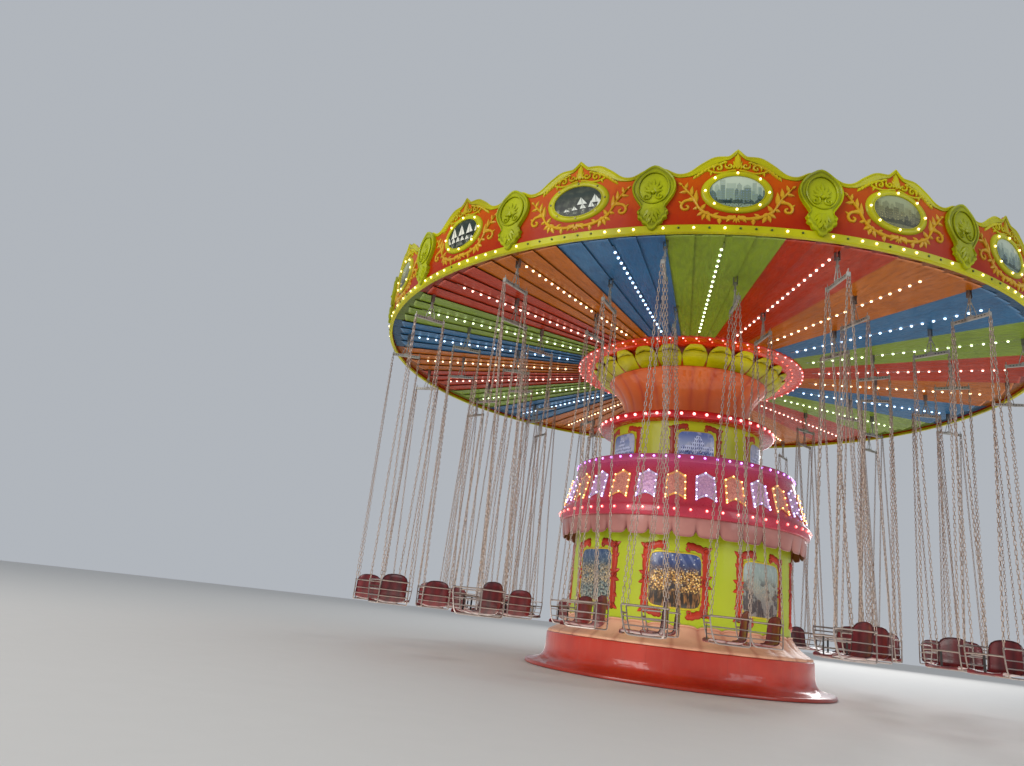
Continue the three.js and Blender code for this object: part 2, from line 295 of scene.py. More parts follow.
def linked(name, data):
    # A new object in the scene
    thing = bpy.data.objects.new(name, data)
    bpy.context.scene.collection.objects.link(thing)
    return thing


def makePiece(name, shapes, finishes, body, stands=(), roundSlot=None):
    # Puts shapes (in mm) into a mesh in metres. Corners that share a place become one vertex, and
    # faces that close to a line are left out.
    shape = group(*shapes) if isinstance(shapes, (list, tuple)) else shapes
    keys = np.round(shape["points"] * 100).astype(np.int64) + (1 << 20)
    keys = (keys[:, 0] << 42) + (keys[:, 1] << 21) + keys[:, 2]
    _, first, same = np.unique(keys, return_index=True, return_inverse=True)
    faces = same.reshape(-1)[shape["faces"]]
    kept = faces != np.roll(faces, -1, axis=1)
    rings, uvs, tones, slots = [], [], [], []
    for size in (4, 3):
        chosen = kept.sum(1) == size
        rings += faces[chosen][kept[chosen]].reshape(-1, size).tolist()
        uvs.append(shape["uv"][chosen][kept[chosen]].ravel())
        tones.append(shape["tone"][chosen][kept[chosen]])
        slots.append(shape["slot"][chosen])
    mesh = bpy.data.meshes.new(name)
    mesh.from_pydata(shape["points"][first] * mm, [], rings)
    mesh.uv_layers.new(name="UVMap").data.foreach_set("uv", np.concatenate(uvs).astype(np.float32))
    tone = mesh.attributes.new("tone", "FLOAT", "CORNER")
    tone.data.foreach_set("value", np.concatenate(tones).astype(np.float32))
    mesh.polygons.foreach_set("material_index", np.concatenate(slots).astype(np.int32))
    mesh.polygons.foreach_set("use_smooth", np.ones(len(rings), bool))
    mesh.set_sharp_from_angle(angle=math.radians(sharpAngle))
    if roundSlot is not None:
        # Wire with few sides is shaded round: no edge of its slot is sharp
        edges, flags = np.empty(len(mesh.loops), np.int32), np.empty(len(mesh.edges), bool)
        mesh.loops.foreach_get("edge_index", edges)
        mesh.attributes["sharp_edge"].data.foreach_get("value", flags)
        corners = np.repeat([4, 3], [len(slots[0]), len(slots[1])])
        flags[edges[np.repeat(np.concatenate(slots) == roundSlot, corners)]] = False
        mesh.attributes["sharp_edge"].data.foreach_set("value", flags)
    for finish in finishes:
        mesh.materials.append(finish)
    mesh.update()
    piece = linked(name, mesh)
    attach(piece, body)
    if stands:
        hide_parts(*stands)


# Finishes. A colour of three numbers is a screen colour.

def linear(red, green, blue):
    # A screen colour from 0 to 255 as the light it stands for
    values = np.array([red, green, blue]) / 255
    return (*np.where(values < 0.04045, values / 12.92, ((values + 0.055) / 1.055) ** 2.4), 1.0)


def tinted(colour, by, plus=0.0):
    # The light of a colour, dimmed or raised
    return (*(min(1.0, by * part + plus) for part in linear(*colour)[:3]), 1.0)


def sign(operation, swapped=False):
    # A Math node for one of the signs of a sum. Swapped, the wire stands behind the sign.
    return lambda wire, other: wire.math(operation, *((other, wire) if swapped else (wire, other)))


class Wire:
    # A socket in a sum: numbers and wires combine with + - * / ** < > and become Math nodes
    __add__ = __radd__ = sign("ADD")
    __sub__, __rsub__ = sign("SUBTRACT"), sign("SUBTRACT", True)
    __mul__ = __rmul__ = sign("MULTIPLY")
    __truediv__, __pow__ = sign("DIVIDE"), sign("POWER")
    __lt__, __gt__ = sign("LESS_THAN"), sign("GREATER_THAN")

    def __init__(self, paint, socket):
        self.paint, self.socket = paint, socket

    def math(self, operation, *values):
        return self.paint.wire("ShaderNodeMath", {"operation": operation}, values)

    def over(self, low, high):
        # 0 below low and 1 above high, with an even curve between
        return self.paint.wire("ShaderNodeMapRange", {"interpolation_type": "SMOOTHSTEP"}, [self, low, high])

    def wave(self):
        return self.math("SINE", self)

    def size(self):
        return self.math("ABSOLUTE", self)

    def rest(self):
        return self.math("FRACT", self)

    def floor(self):
        return self.math("FLOOR", self)


class Paint:
    # One finish and the nodes that make it
    def __init__(self, name):
        self.material = bpy.data.materials.new(name)
        self.material.use_nodes = True
        self.tree = self.material.node_tree
        self.tree.nodes.clear()
        self.place = self.add("ShaderNodeTexCoord").outputs["Object"]

    def add(self, kind, settings=None, inputs=()):
        # A node from its type, its settings and the values or links of its sockets
        node = self.tree.nodes.new(kind)
        for key, value in (settings or {}).items():
            setattr(node, key, value)
        for key, value in inputs.items() if isinstance(inputs, dict) else enumerate(inputs):
            value = value.socket if isinstance(value, Wire) else value
            if isinstance(value, bpy.types.NodeSocket):
                self.tree.links.new(value, node.inputs[key])
            else:
                node.inputs[key].default_value = value
        return node

    def wire(self, *node):
        return Wire(self, self.add(*node).outputs[0])

    def noise(self, scale, detail=3.0, roughness=0.55, stretch=None, place=None):
        place = self.place if place is None else place
        if stretch:
            place = self.add("ShaderNodeVectorMath", {"operation": "MULTIPLY"}, [place, stretch]).outputs[0]
        sockets = {"Vector": place, "Scale": scale, "Detail": detail, "Roughness": roughness}
        return self.wire("ShaderNodeTexNoise", None, sockets)

    def cells(self, scale):
        return self.wire("ShaderNodeTexVoronoi", None, {"Vector": self.place, "Scale": scale})

    def tone(self):
        return Wire(self, self.add("ShaderNodeAttribute", {"attribute_name": "tone"}).outputs["Fac"])

    def split(self, socket):
        return [Wire(self, part) for part in self.add("ShaderNodeSeparateXYZ", None, [socket]).outputs]

    def joined(self, *parts):
        return self.add("ShaderNodeCombineXYZ", None, parts).outputs[0]

    def axes(self):
        return self.split(self.place)

    def uv(self):
        return self.split(self.add("ShaderNodeUVMap", {"uv_map": "UVMap"}).outputs[0])

    def angle(self):
        # The angle about the axis, in radians
        across, along, _ = self.axes()
        return across.math("ARCTAN2", across, 0.0 - along)

    def joints(self, count, phase, width):
        # 0 on the seams that run down a face, count of them round the axis, and 1 elsewhere
        turns = self.angle() * (count / (2 * math.pi)) + phase
        return ((turns + 0.5).rest() - 0.5).size().over(0.0, width)

    def mix(self, factor, first, second):
        first, second = (linear(*one) if isinstance(one, tuple) and len(one) == 3 else one
                         for one in (first, second))
        return self.add("ShaderNodeMix", {"data_type": "RGBA"}, {0: factor, 6: first, 7: second}).outputs[2]

    def bump(self, height, strength, distance):
        sockets = {"Height": height, "Strength": strength, "Distance": distance}
        return self.add("ShaderNodeBump", None, sockets).outputs[0]

    def finish(self, **sockets):
        # The shader: a _ in the name of a socket stands for a space
        sockets = {key.replace("_", " "): value for key, value in sockets.items()}
        shader = self.add("ShaderNodeBsdfPrincipled", None, sockets)
        self.add("ShaderNodeOutputMaterial", None, {"Surface": shader.outputs[0]})
        return self.material


def glossPaint(name, colour, deep, worn=None, rough=0.22, coat=0.5, peel=0.12, grime=0.35, seams=None,
               glaze=0.08, rise=None, shine=0.3):
    # Painted glass fibre: a slow drift between two shades, thin dust in streaks, an uneven gloss
    # and a skin that ripples like orange peel. seams = [count, phase] draws joints down its face, and
    # rise = [low, high, tint] turns it towards a tint with height.
    paint = Paint(name)
    drift = paint.noise(1.1, 4.0).over(0.35, 0.68)
    streak = paint.noise(9.0, 5.0, 0.6, (1.0, 1.0, 0.12)).over(0.5, 0.82)
    fine = paint.noise(60.0)
    # A face's tone turns it towards the deep colour; the pieces mostly use this for painted shade in creases,
    # grooves and recesses.
    shade = paint.mix(drift * 0.55 + paint.tone() * 0.75, colour, deep)
    shade = paint.mix(streak * grime, shade, worn or tinted(colour, 0.45, 0.03))
    height = paint.noise(34.0, 2.0) * 0.6 + fine * 0.15
    # The tint with height is painted light: the glow of lamps above.
    if rise:
        low, high, tint = rise
        shade = paint.mix(paint.axes()[2].over(low, high) * 0.6, shade, tint)
    if seams:
        count, phase = seams
        joint = paint.joints(count, phase / 360 * count, 0.0035 * count / 16)
        height = height + joint * 1.5
        shade = paint.mix((1.0 - joint) * 0.6, shade, tinted(colour, 0.3))
    gloss = streak * 0.25 + fine * 0.08 + rough
    return paint.finish(Base_Color=shade, Roughness=gloss, Specular_IOR_Level=shine, Coat_Weight=coat,
                        Coat_Roughness=glaze, Normal=paint.bump(height, peel, 0.004))


def metalSkin(name, colour, stain, rough=0.35, metallic=1.0, scale=40.0):
    # Bare metal: mottled like zinc crystals, with dull stains, and dark where its tone rises. The tone paints
    # shade at the foot of the gold frames and in the bar's holes, and dims some unlit lamps at random.
    paint = Paint(name)
    grain = paint.cells(scale)
    blotch = paint.noise(scale * 0.16, 5.0).over(0.52, 0.75)
    fine = paint.noise(scale * 4)
    shade = paint.mix(blotch * 0.7, paint.mix(grain * 0.5, colour, tinted(colour, 0.72)), stain)
    shade = paint.mix(paint.tone() * 0.85, shade, (24, 22, 20))
    gloss = blotch * 0.3 + fine * 0.12 + rough
    return paint.finish(Base_Color=shade, Roughness=gloss, Metallic=(1.0 - blotch * 0.6) * metallic,
                        Normal=paint.bump(fine * 0.5 + grain * 0.2, 0.15, 0.002))


def lampGlass(name, core, rim, power):
    # A lit cap: pale at its crown and deep in colour at its foot, and some lamps duller by their tone
    paint = Paint(name)
    speck = paint.noise(70.0, 2.0)
    glow = paint.mix(paint.uv()[0].over(0.05, 0.55) * 0.9 + speck * 0.1, core, rim)
    glow = paint.mix(paint.tone().over(0.5, 1.0) * 0.45, glow, rim)
    return paint.finish(Base_Color=paint.mix(speck * 0.4, core, rim), Roughness=0.3, Emission_Color=glow,
                        Emission_Strength=power)


def steelBoth(name):
    # The canopy's iron: dark brown paint on the plate, bare zinc on the forks that hang below it
    paint = Paint(name)
    fork = paint.axes()[2] < 5.3995
    grain = paint.noise(26.0, 5.0)
    blotch = paint.noise(5.0, 4.0).over(0.45, 0.7)
    brown = paint.mix(blotch, (66, 42, 34), (98, 58, 38))
    zinc = paint.mix(grain, (150, 150, 152), (108, 104, 100))
    return paint.finish(Base_Color=paint.mix(fork, brown, zinc), Roughness=grain * 0.3 + 0.35,
                        Metallic=fork * 0.85, Normal=paint.bump(grain, 0.2, 0.003))


def boardPaint(name):
    # Orange-red enamel, more orange towards the crest, with soft clouds, drips and a joint at each shield
    paint = Paint(name)
    rise = (paint.axes()[2] - 5.35) / 0.95 + paint.noise(2.2) * 0.5 - 0.25
    shade = paint.mix(rise.over(0.0, 1.0), (152, 36, 6), (184, 82, 4))
    shade = paint.mix(paint.noise(7.0, 4.0).over(0.5, 0.75) * 0.45, shade, (142, 24, 12))
    streak = paint.noise(16.0, 5.0, 0.6, (1.0, 1.0, 0.1)).over(0.55, 0.85)
    shade = paint.mix(streak * 0.3, shade, (120, 30, 20))
    joint = paint.joints(18, 1.45 / 20, 0.004)
    shade = paint.mix((1.0 - joint) * 0.7, shade, (70, 18, 12))
    fine = paint.noise(40.0)
    return paint.finish(Base_Color=shade, Roughness=streak * 0.25 + fine * 0.1 + 0.26,
                        Specular_IOR_Level=0.08, Coat_Weight=0.03, Coat_Roughness=0.1,
                        Normal=paint.bump(joint + fine * 0.12, 0.35, 0.004))


class Picture(Paint):
    # A painted picture on its own map: each picture's tone moves it to a part of its own
    def __init__(self, name, stretch, seed):
        super().__init__(name)
        self.u, self.v, _ = self.uv()
        self.place = self.joined(self.u * stretch, self.v, self.tone() * seed)

    def cloud(self, scale, low, high):
        return self.noise(scale, 4.0, 0.5).over(low, high)

    def uneven(self, scale, by):
        # The height on the picture, made ragged
        return self.v + self.noise(scale, 4.0, 0.5) * by

    def dots(self, scale, size):
        # Round dots at the cells' middles
        return 1.0 - self.cells(scale).over(size * 0.6, size)

    def done(self, shade, ridge, rough, coat, shine=0.5):
        # Varnish over brush marks, duller on the ridge
        return self.finish(Base_Color=shade, Roughness=ridge * 0.1 + rough, Specular_IOR_Level=shine,
                           Coat_Weight=coat, Coat_Roughness=0.06, Normal=self.bump(ridge, 0.04, 0.002))


def harbourPicture(name):
    # Night harbour: a dull blue sky with slanting rays, a shore crowded with gold lights, and their long
    # reflections on brown water
    paint = Picture(name, 1.0, 9.0)
    u, v = paint.u, paint.v
    slant = (u * 34.0 + v * 22.0 + paint.tone() * 40).wave().over(0.2, 0.9)
    sky = paint.mix(v.over(0.55, 1.0), (52, 48, 50), (58, 76, 128))
    sky = paint.mix(slant * v.over(0.66, 0.95) * 0.4, sky, (140, 150, 180))
    shore = paint.cloud(4.0, 0.36, 0.5)
    band = v.over(0.22, 0.36) * (1.0 - v.over(0.56, 0.78))
    grain = paint.cloud(26.0, 0.4, 0.62)
    land = paint.mix(band * shore * 0.9, sky, paint.mix(grain, (70, 44, 24), (176, 124, 60)))
    lights = paint.dots(24.0, 0.46) * shore * band
    water = 1.0 - v.over(0.24, 0.32)
    long = paint.joined(u * 30.0, v * 5.0, paint.tone() * 5)
    ripple = paint.noise(1.0, 4.0, 0.5, place=long).over(0.46, 0.68)
    shade = paint.mix(water, land, (44, 36, 28))
    shade = paint.mix(ripple * water * 0.75, shade, (170, 112, 50))
    shade = paint.mix(lights * 0.9, shade, (250, 206, 120))
    shade = paint.mix(paint.dots(13.0, 0.24) * v.over(0.3, 0.5) * 0.6, shade, (225, 225, 220))
    cool = paint.tone().over(0.55, 0.6)
    shade = paint.mix(cool * 0.55, shade, paint.mix(grain * (1.0 - v), (28, 60, 70), (180, 196, 186)))
    pale = paint.tone().over(0.4, 0.44) * (1.0 - paint.tone().over(0.5, 0.55))
    boats = paint.cloud(5.0, 0.5, 0.54) * (1.0 - v.over(0.5, 0.8))
    quiet = paint.mix(v.over(0.1, 0.9), (128, 120, 116), (150, 166, 158))
    shade = paint.mix(pale * 0.85, shade, paint.mix(boats * 0.85 + lights * 0.1, quiet, (48, 38, 44)))
    return paint.finish(Base_Color=shade, Roughness=ripple * 0.1 + 0.24, Coat_Weight=0.25,
                        Coat_Roughness=0.06, Normal=paint.bump(shore, 0.05, 0.002))


def domePicture(name):
    # Evening town: a pale lilac sky, a white domed hall with two wings and windows, a blue quay with
    # bright specks, and dark bushes in front
    paint = Picture(name, 1.0, 7.0)
    u, v = paint.u, paint.v
    across, high = u - 0.5 + (paint.tone() - 0.5) * 0.12, v - 0.62
    sky = paint.mix(v.over(0.6, 1.0), (176, 190, 222), (92, 114, 180))
    sky = paint.mix(paint.cloud(4.0, 0.45, 0.62) * 0.6, sky, (206, 212, 228))
    dome = 1.0 - ((across * across * 1.6 + (high - 0.15) * (high - 0.15)) ** 0.5).over(0.145, 0.16)
    drum = (across.size() < 0.17) * (high.size() < 0.18)
    wings = (across.size() < 0.44) * (high < 0.09)
    hall = (dome + drum + wings) * (high > -0.3) > 0.4
    frames = (u * 120.0).wave().over(0.0, 0.4) * (v * 80.0).wave().over(-0.2, 0.3)
    stone = paint.mix(frames * 0.9, (206, 220, 252), (24, 38, 122))
    stone = paint.mix(paint.cloud(14.0, 0.5, 0.6) * 0.5, stone, (70, 90, 170))
    shade = paint.mix(hall * 0.95, sky, stone)
    quay = 1.0 - paint.uneven(6.0, 0.3).over(0.7, 0.76)
    water = paint.mix(paint.cloud(24.0, 0.4, 0.6), (26, 34, 92), (110, 128, 204))
    shade = paint.mix(quay * 0.9, shade, water)
    shade = paint.mix(paint.dots(22.0, 0.34) * quay * 0.9, shade, (226, 226, 250))
    hedge = 1.0 - paint.uneven(9.0, 0.34).over(0.36, 0.42)
    shade = paint.mix(hedge * 0.85, shade, (24, 28, 46))
    return paint.done(shade, hedge, 0.24, 0.25)


def sailPicture(name):
    # Boats on a dark lake: pale sails of uneven height, the streak of each on the water, and far hills
    paint = Picture(name, 1.4, 11.0)
    u, v, warm = paint.u, paint.v, paint.tone()
    shade = paint.mix(v.over(0.1, 0.9), (16, 24, 22), (38, 48, 42))
    shade = paint.mix(paint.cloud(6.0, 0.4, 0.7) * 0.5, shade, (84, 90, 74))
    hills = paint.uneven(3.0, 0.3).over(0.78, 0.8) * (1.0 - paint.uneven(2.0, 0.3).over(0.93, 0.96))
    shade = paint.mix(hills * 0.8, shade, (34, 48, 44))
    for count, foot, tall, shift in ((3.7, 0.42, 0.3, 0.17), (6.1, 0.24, 0.16, 0.63)):
        swing = u * count + warm * 3.7 + shift
        cell, one = swing.rest() - 0.5, (swing.floor() * 12.99 + warm * 7).wave()
        rise = (v - foot - one * 0.05) / (one * 0.1 + tall)
        slant = cell + rise * 0.12 - one * 0.1
        sail = (slant.size() * 2.6 + rise < 1.0) * (rise > 0.0) * ((slant - 0.03).size() > 0.02)
        sail = sail * (one > -0.7)
        hull = (slant.size() < 0.3) * ((rise + 0.1).size() < 0.09) * (one > -0.7)
        streak = (cell.size() < 0.2) * ((rise + 0.6).size() < 0.35) * paint.cloud(40.0, 0.45, 0.6)
        shade = paint.mix(streak * 0.5, shade, (180, 184, 166))
        shade = paint.mix(sail * 0.92, shade, paint.mix(warm, (226, 224, 206), (190, 200, 196)))
        shade = paint.mix(hull, shade, (18, 18, 18))
    return paint.done(shade, hills, 0.3, 0.05, 0.15)


def townPicture(name, sky, haze, wall, lights):
    # A town by the water: three rows of house fronts of uneven width and height, some with a gable, with
    # windows of which a part is lit, over trees and a quay. A random number per front sets its shape.
    paint = Picture(name, 1.4, 13.0)
    u, v, warm = paint.u, paint.v, paint.tone()
    shade = paint.mix(paint.uneven(4.0, 0.5).over(0.4, 1.2), haze, sky)
    uneven = u + (u * 19.0 + warm * 40.0).wave() * 0.022 + (u * 7.0).wave() * 0.03
    for count, base, tall, strength in ((8.0, 0.56, 0.34, 0.4), (11.0, 0.42, 0.3, 0.75),
                                        (7.0, 0.24, 0.34, 1.0)):
        swing = uneven * count + warm * 5.3 + base * 7.0
        draw = paint.add("ShaderNodeTexWhiteNoise", {"noise_dimensions": "1D"}, {"W": swing.floor()})
        cell, one = swing.rest() - 0.5, Wire(paint, draw.outputs["Value"])
        gable = cell.size() * ((one * 9.0).rest() > 0.5) * 0.2
        front = (cell.size() < one * 0.14 + 0.34) * (v + gable < one * tall + base)
        panes = (cell * 24.0).wave().over(0.3, 0.7) * (v * 84.0 + one * 6.0).wave().over(0.3, 0.7)
        windows = panes * paint.cloud(44.0, 0.46, 0.56)
        plaster = paint.mix((one * 5.0).rest() * 0.6, wall, haze)
        shade = paint.mix(front * strength, shade, paint.mix(windows * 0.7, plaster, lights))
    trees = paint.uneven(12.0, 0.5) < 0.5
    shade = paint.mix(trees * 0.8, shade, paint.mix(paint.cloud(30.0, 0.4, 0.6), (26, 34, 18), wall))
    quay = paint.mix(paint.cloud(50.0, 0.5, 0.6), haze, (40, 44, 36))
    shade = paint.mix((v < 0.14) * 0.7, shade, quay)
    return paint.done(shade, trees, 0.3, 0.1, 0.15)

print("finishes ready")


# Foot of the ride
plinth = {"columns": 144, "radius": 2530, "neck": 2196, "floor": 1, "top": 523, "ripple": 3.0,
          "foot": [(2540, 8), (2539, 34), (2520, 56), (2420, 72), (2312, 104), (2244, 168), (2218, 260),
                   (2212, 380), (2208, 512)]}
plinthRed = glossPaint("plinthRed", (176, 48, 26), (132, 26, 16), (150, 84, 66), rough=0.28, peel=0.4,
                       grime=0.3, seams=(12, 7.0), glaze=0.02)


def plinthSwell(turn, step):
    # 24 shallow waves round the wall: ripple (sin(12 turn)^2 - 1)
    wave = np.sin(np.radians(turn * 12)) ** 2
    return plinth["ripple"] * (step > 0.06) * (step < 0.9) * wave - plinth["ripple"]


outline = [(0, plinth["floor"]), (plinth["radius"], plinth["floor"]), *curveThrough(plinth["foot"], 24),
           (plinth["neck"], plinth["top"]), (0, plinth["top"])]
makePiece("plinthFoot", turned(outline, plinth["columns"], plinthSwell), [plinthRed], "base", ["base_plinth"])

# Wall of the lower drum, with the pink skirt at its foot in 32 lobes with a rolled edge
drum = {"columns": 144, "radius": 1846, "inner": 1806, "floor": 523.6, "top": 2419.8, "lobes": 32,
        "first": 1.95,
        "skirt": [(2186, 526), (2178, 560), (2122, 592), (2048, 634), (1982, 684), (1926, 740), (1886, 794),
                  (1862, 836)],
        "roll": [(10, 6), (14, 17), (8, 27), (-8, 28)], "rear": [(1848, 790), (1848, 526)], "thick": 10,
        "swell": 16, "scallop": 34}
drumLime = glossPaint("drumLime", (164, 175, 26), (148, 170, 8), (160, 160, 50), rough=0.34, coat=0.15,
                      peel=0.2, grime=0.25)
skirtPink = glossPaint("skirtPink", (214, 164, 132), (182, 122, 98), (156, 124, 96), rough=0.4, coat=0.1,
                       peel=0.2)


def lobed(columns, lobes, first=0.0):
    # The angles round an edge with lobes, and the place across each lobe from -1 to 1
    turn = evenly(columns)
    return turn[:, None] + first, ((turn * lobes / 360) % 1 * 2 - 1)[:, None]


def skirt():
    # The rim line rises inwards and rolls over. Each lobe swells in its middle, and its ends drop
    # with the fourth power of the place across.
    turn, along = lobed(drum["lobes"] * 8, drum["lobes"], drum["first"])
    rim = curveThrough(drum["skirt"], 14)
    rim = np.concatenate([rim, rim[-1] + drum["roll"]])
    lift = np.append(np.linspace(0, 1, 14) ** 3, np.ones(4))
    swell = drum["swell"] * (1 - along**2) ** 0.6
    front = polar(rim[:, 0] + swell - drum["thick"], turn, rim[:, 1] - lift * drum["scallop"] * along**4)
    rear = np.array(drum["rear"], float)
    # Painted shade: darker where the lobes meet and in a line under the rolled edge.
    alongs = np.abs(np.vstack([along, along[:1]]))
    crease = np.append(np.exp(-((np.arange(18) - 13) / 0.8) ** 2), np.zeros(3))[None]
    tone = alongs**8 * 0.9 + 0.7 * crease * (1 - alongs**6)
    return patch(np.concatenate([front, polar(rear[:, 0], turn, rear[:, 1])], 1), True, True, tone=tone)


outside = [(drum["radius"], height) for height in (drum["floor"], 900, 1600, drum["top"])]
wall = turned([(drum["inner"], drum["floor"]), *outside, (drum["inner"], drum["top"])], drum["columns"])
makePiece("columnWall", [wall, slotted(skirt(), 1)], [drumLime, skirtPink], "base", ["lower_drum"])

# Pictures round a drum, each in a thin gold frame, with carved brackets at both sides. A bracket's
# sizes are its reach, foot, head, upper arm, lower arm, width and depth.
columnPictures = {"lower": {"radius": 1846, "count": 8, "first": 1.95, "middle": 1500, "width": 780,
                            "height": 800, "depth": 10, "frame": 34,
                            "bracket": (446, 984, 2028, 172, 196, 118, 22)},
                  "upper": {"radius": 1338, "count": 6, "first": 11.8, "middle": 3560, "width": 612,
                            "height": 796, "depth": 5, "frame": 24,
                            "bracket": (382, 3066, 4056, 146, 164, 94, 6)}}
frameGold = metalSkin("frameGold", (206, 184, 44), (150, 116, 24), rough=0.3, metallic=0.5)
carvedRed = glossPaint("carvedRed", (190, 52, 22), (104, 20, 10), (120, 60, 36), rough=0.36, coat=0.15,
                       peel=0.5)
carvedLook = {"rough": 0.34, "coat": 0.08, "peel": 0.4, "grime": 0.15, "shine": 0.15}
carvedGold = glossPaint("carvedGold", (204, 166, 34), (160, 100, 12), (160, 108, 22), **carvedLook)
carvedLime = glossPaint("carvedLime", (190, 184, 10), (154, 106, 6), (150, 112, 22), **carvedLook)


def bracket(reach, low, high, topArm, lowArm, width, depth):
    # A carved bracket, [-shaped seen from its picture: a bar with scalloped edges, an arm at each
    # end that curls at its tip, and small leaves along the outside
    middle = (low + high) / 2
    knots = [(topArm, high - 26), (topArm + 50, high - 6), (reach - 40, high - width / 2),
             (reach, high - width), (reach, middle), (reach, low + width), (reach - 40, low + width / 2),
             (lowArm + 50, low + 6), (lowArm, low + 30)]
    path = curveThrough(knots, 69)
    t = np.linspace(0, 1, 69)
    ends = np.minimum(1, 14 * np.minimum(t, 1 - t) + 0.3)
    wide = width * (0.84 + 0.22 * np.abs(np.sin(t * np.pi * 17))) * ends
    parts = [strand(path, wide, depth, ribs=5),
             strand(path[4:-4:2], width * 0.16, depth * 1.35, ribs=4, edge=0.2)]
    for up, turn in ((high - 60, -58), (high - 260, -42), (high - 470, -70), (low + 470, -110),
                     (low + 260, -138), (low + 60, -122)):
        for length, broad, bend, side in ((0.95, 0.55, 0.0015, 1), (0.72, 0.45, 0.002, -1)):
            parts.append(shifted(leaf(width * length, width * broad, depth, bend), reach + side * width * 0.1,
                                 0, up, side * turn))
    for up in (high - width / 2, middle, low + width / 2):
        knob = oval(width * 1.15, width * 1.15, 16, 1.6, (reach, up))
        # The tone darkens the knob's dip and its rim: painted shade.
        steps = [(0, depth * 1.5, 0), (0.3, depth * 1.4, 0), (0.42, depth * 0.9, 1), (0.7, depth * 1.3, 0.1),
                 (1, 1, 1)]
        parts.append(boss(knob, steps, (reach, up)))
    for arm, up, size, start in ((topArm, high - 56, 0.42, 90), (lowArm, low + 54, 0.4, -90)):
        parts.append(shifted(scroll(width * size, 1.3, width * 0.3, depth, start), arm + 22, 0, up))
    right = group(*parts)
    return group(right, flipped(right))


def pictureWall(name, finish, body):
    sizes = columnPictures[name]
    width, height, depth, wide = (sizes[key] for key in ("width", "height", "depth", "frame"))
    steps = [(0, depth, 0), (0.35, depth, 0), (0.7, depth, 0), (0.97, depth, 0), (1, depth * 0.6, 0)]
    panel = shifted(boss(oval(width, height, 56, 7.0), steps), up=sizes["middle"])
    edge = oval(width + wide * 0.7, height + wide * 0.7, 56, 7.0, (0, sizes["middle"]))
    edging = strand(edge, wide, depth * 1.3, closed=True, ribs=5, edge=0.4)
    angles = evenly(sizes["count"], sizes["first"])
    tones = (np.arange(sizes["count"]) * 0.37 + 0.11) % 1
    makePiece(name + "Pictures", onRing(panel, sizes["radius"], angles, tones), [finish], body)
    carved = slotted(bracket(*sizes["bracket"]), 1)
    makePiece(name + "Carving", [onRing(shape, sizes["radius"], angles) for shape in (edging, carved)],
              [frameGold, carvedRed], body)


pictureWall("lower", harbourPicture("harbourPicture"), "base")

# Scalloped valance under the band
valance = {"lobes": 36, "radius": 2094, "foot": 2056, "top": 2419.6, "drop": 280, "scallop": 84, "swell": 22,
           "wall": 13}
turn, along = lobed(valance["lobes"] * 10, valance["lobes"])
t = np.linspace(0, 1, 8)
low = valance["top"] - valance["drop"] + valance["scallop"] * np.abs(along) ** 5
height = valance["top"] + (low - valance["top"]) * t
swell = valance["swell"] * (1 - along**2) ** 0.6 * (0.25 + 0.75 * np.sin(1.75 * t))
reach = valance["radius"] + (valance["foot"] - valance["radius"]) * t**1.3 + swell
outer = polar(reach, turn, height)
lip = polar(valance["foot"] + swell[:, -1:] - 6, turn, low - 5)
inner = polar((reach - valance["wall"])[:, ::-1], turn, height[:, ::-1])
# Painted shade: darker in the creases between the lobes and under the rounded hem.
crease = np.abs(np.vstack([along, along[:1]])) ** 10 * np.append(0.2 + 0.8 * t**2, np.ones(10))[None]
tone = crease + np.append(np.clip((t - 0.84) / 0.16, 0, 1) * 0.6, np.zeros(10))[None]
valancePink = glossPaint("valancePink", (174, 120, 112), (112, 56, 54), (158, 112, 102), rough=0.28, coat=0.3)
makePiece("valance", patch(np.concatenate([outer, lip, inner], 1), True, True, tone=tone), [valancePink],
          "base", ["scalloped_valance"])

# Sloped band: a lip with red lamps below, a slope of lit panels, and a lip with violet lamps above
band = {"profile": [(1786, 2421), (2132, 2421), (2150, 2432), (2156, 2466), (2154, 2580), (2140, 2604),
                    (2096, 2610), (1904, 3322), (1912, 3338), (1912, 3352), (1902, 3420), (1888, 3444),
                    (1868, 3450.5), (1500, 3450.5), (1348, 3450.5), (1347, 3412), (1822, 3392), (2032, 2466),
                    (1786, 2466)],
        "columns": 168, "panels": 28, "first": 0.8, "slopeRadius": 2141, "slopeFoot": 2435, "slope": 0.2694,
        "gap": 3,
        "arrow": [(0, 3172), (82, 3126), (152, 3090), (156, 2990), (159, 2890), (162, 2790), (164, 2692),
                  (110, 2722), (52, 2752), (0, 2768)],
        "arrowLamps": [(0, 3150), (132, 3080), (138, 2975), (142, 2865), (146, 2755), (148, 2712), (0, 2788)],
        "arrowLamp": 15, "lampOut": 23, "lampRise": 0.27,
        "lowLamps": {"radius": 2155, "height": 2534, "count": 56, "first": 0.8, "size": 22},
        "highLamps": {"radius": 1900, "height": 3398, "count": 60, "first": 1.5, "rise": 0.1, "size": 21}}
# Towards the top the crimson turns violet: a painted glow of the violet lamps on the upper lip.
bandCrimson = glossPaint("bandCrimson", (182, 52, 72), (140, 28, 50), (138, 56, 68), rough=0.24, coat=0.4,
                         seams=(14, 5.6), rise=(3.1, 3.45, (166, 74, 132)))
makePiece("bandShell", turned(band["profile"], band["columns"]), [bandCrimson], "base", ["sloped_band"])


def bandRadius(up):
    # How far the slope's face is from the axis at a height
    return band["slopeRadius"] - band["slope"] * (up - band["slopeFoot"]) + band["gap"]


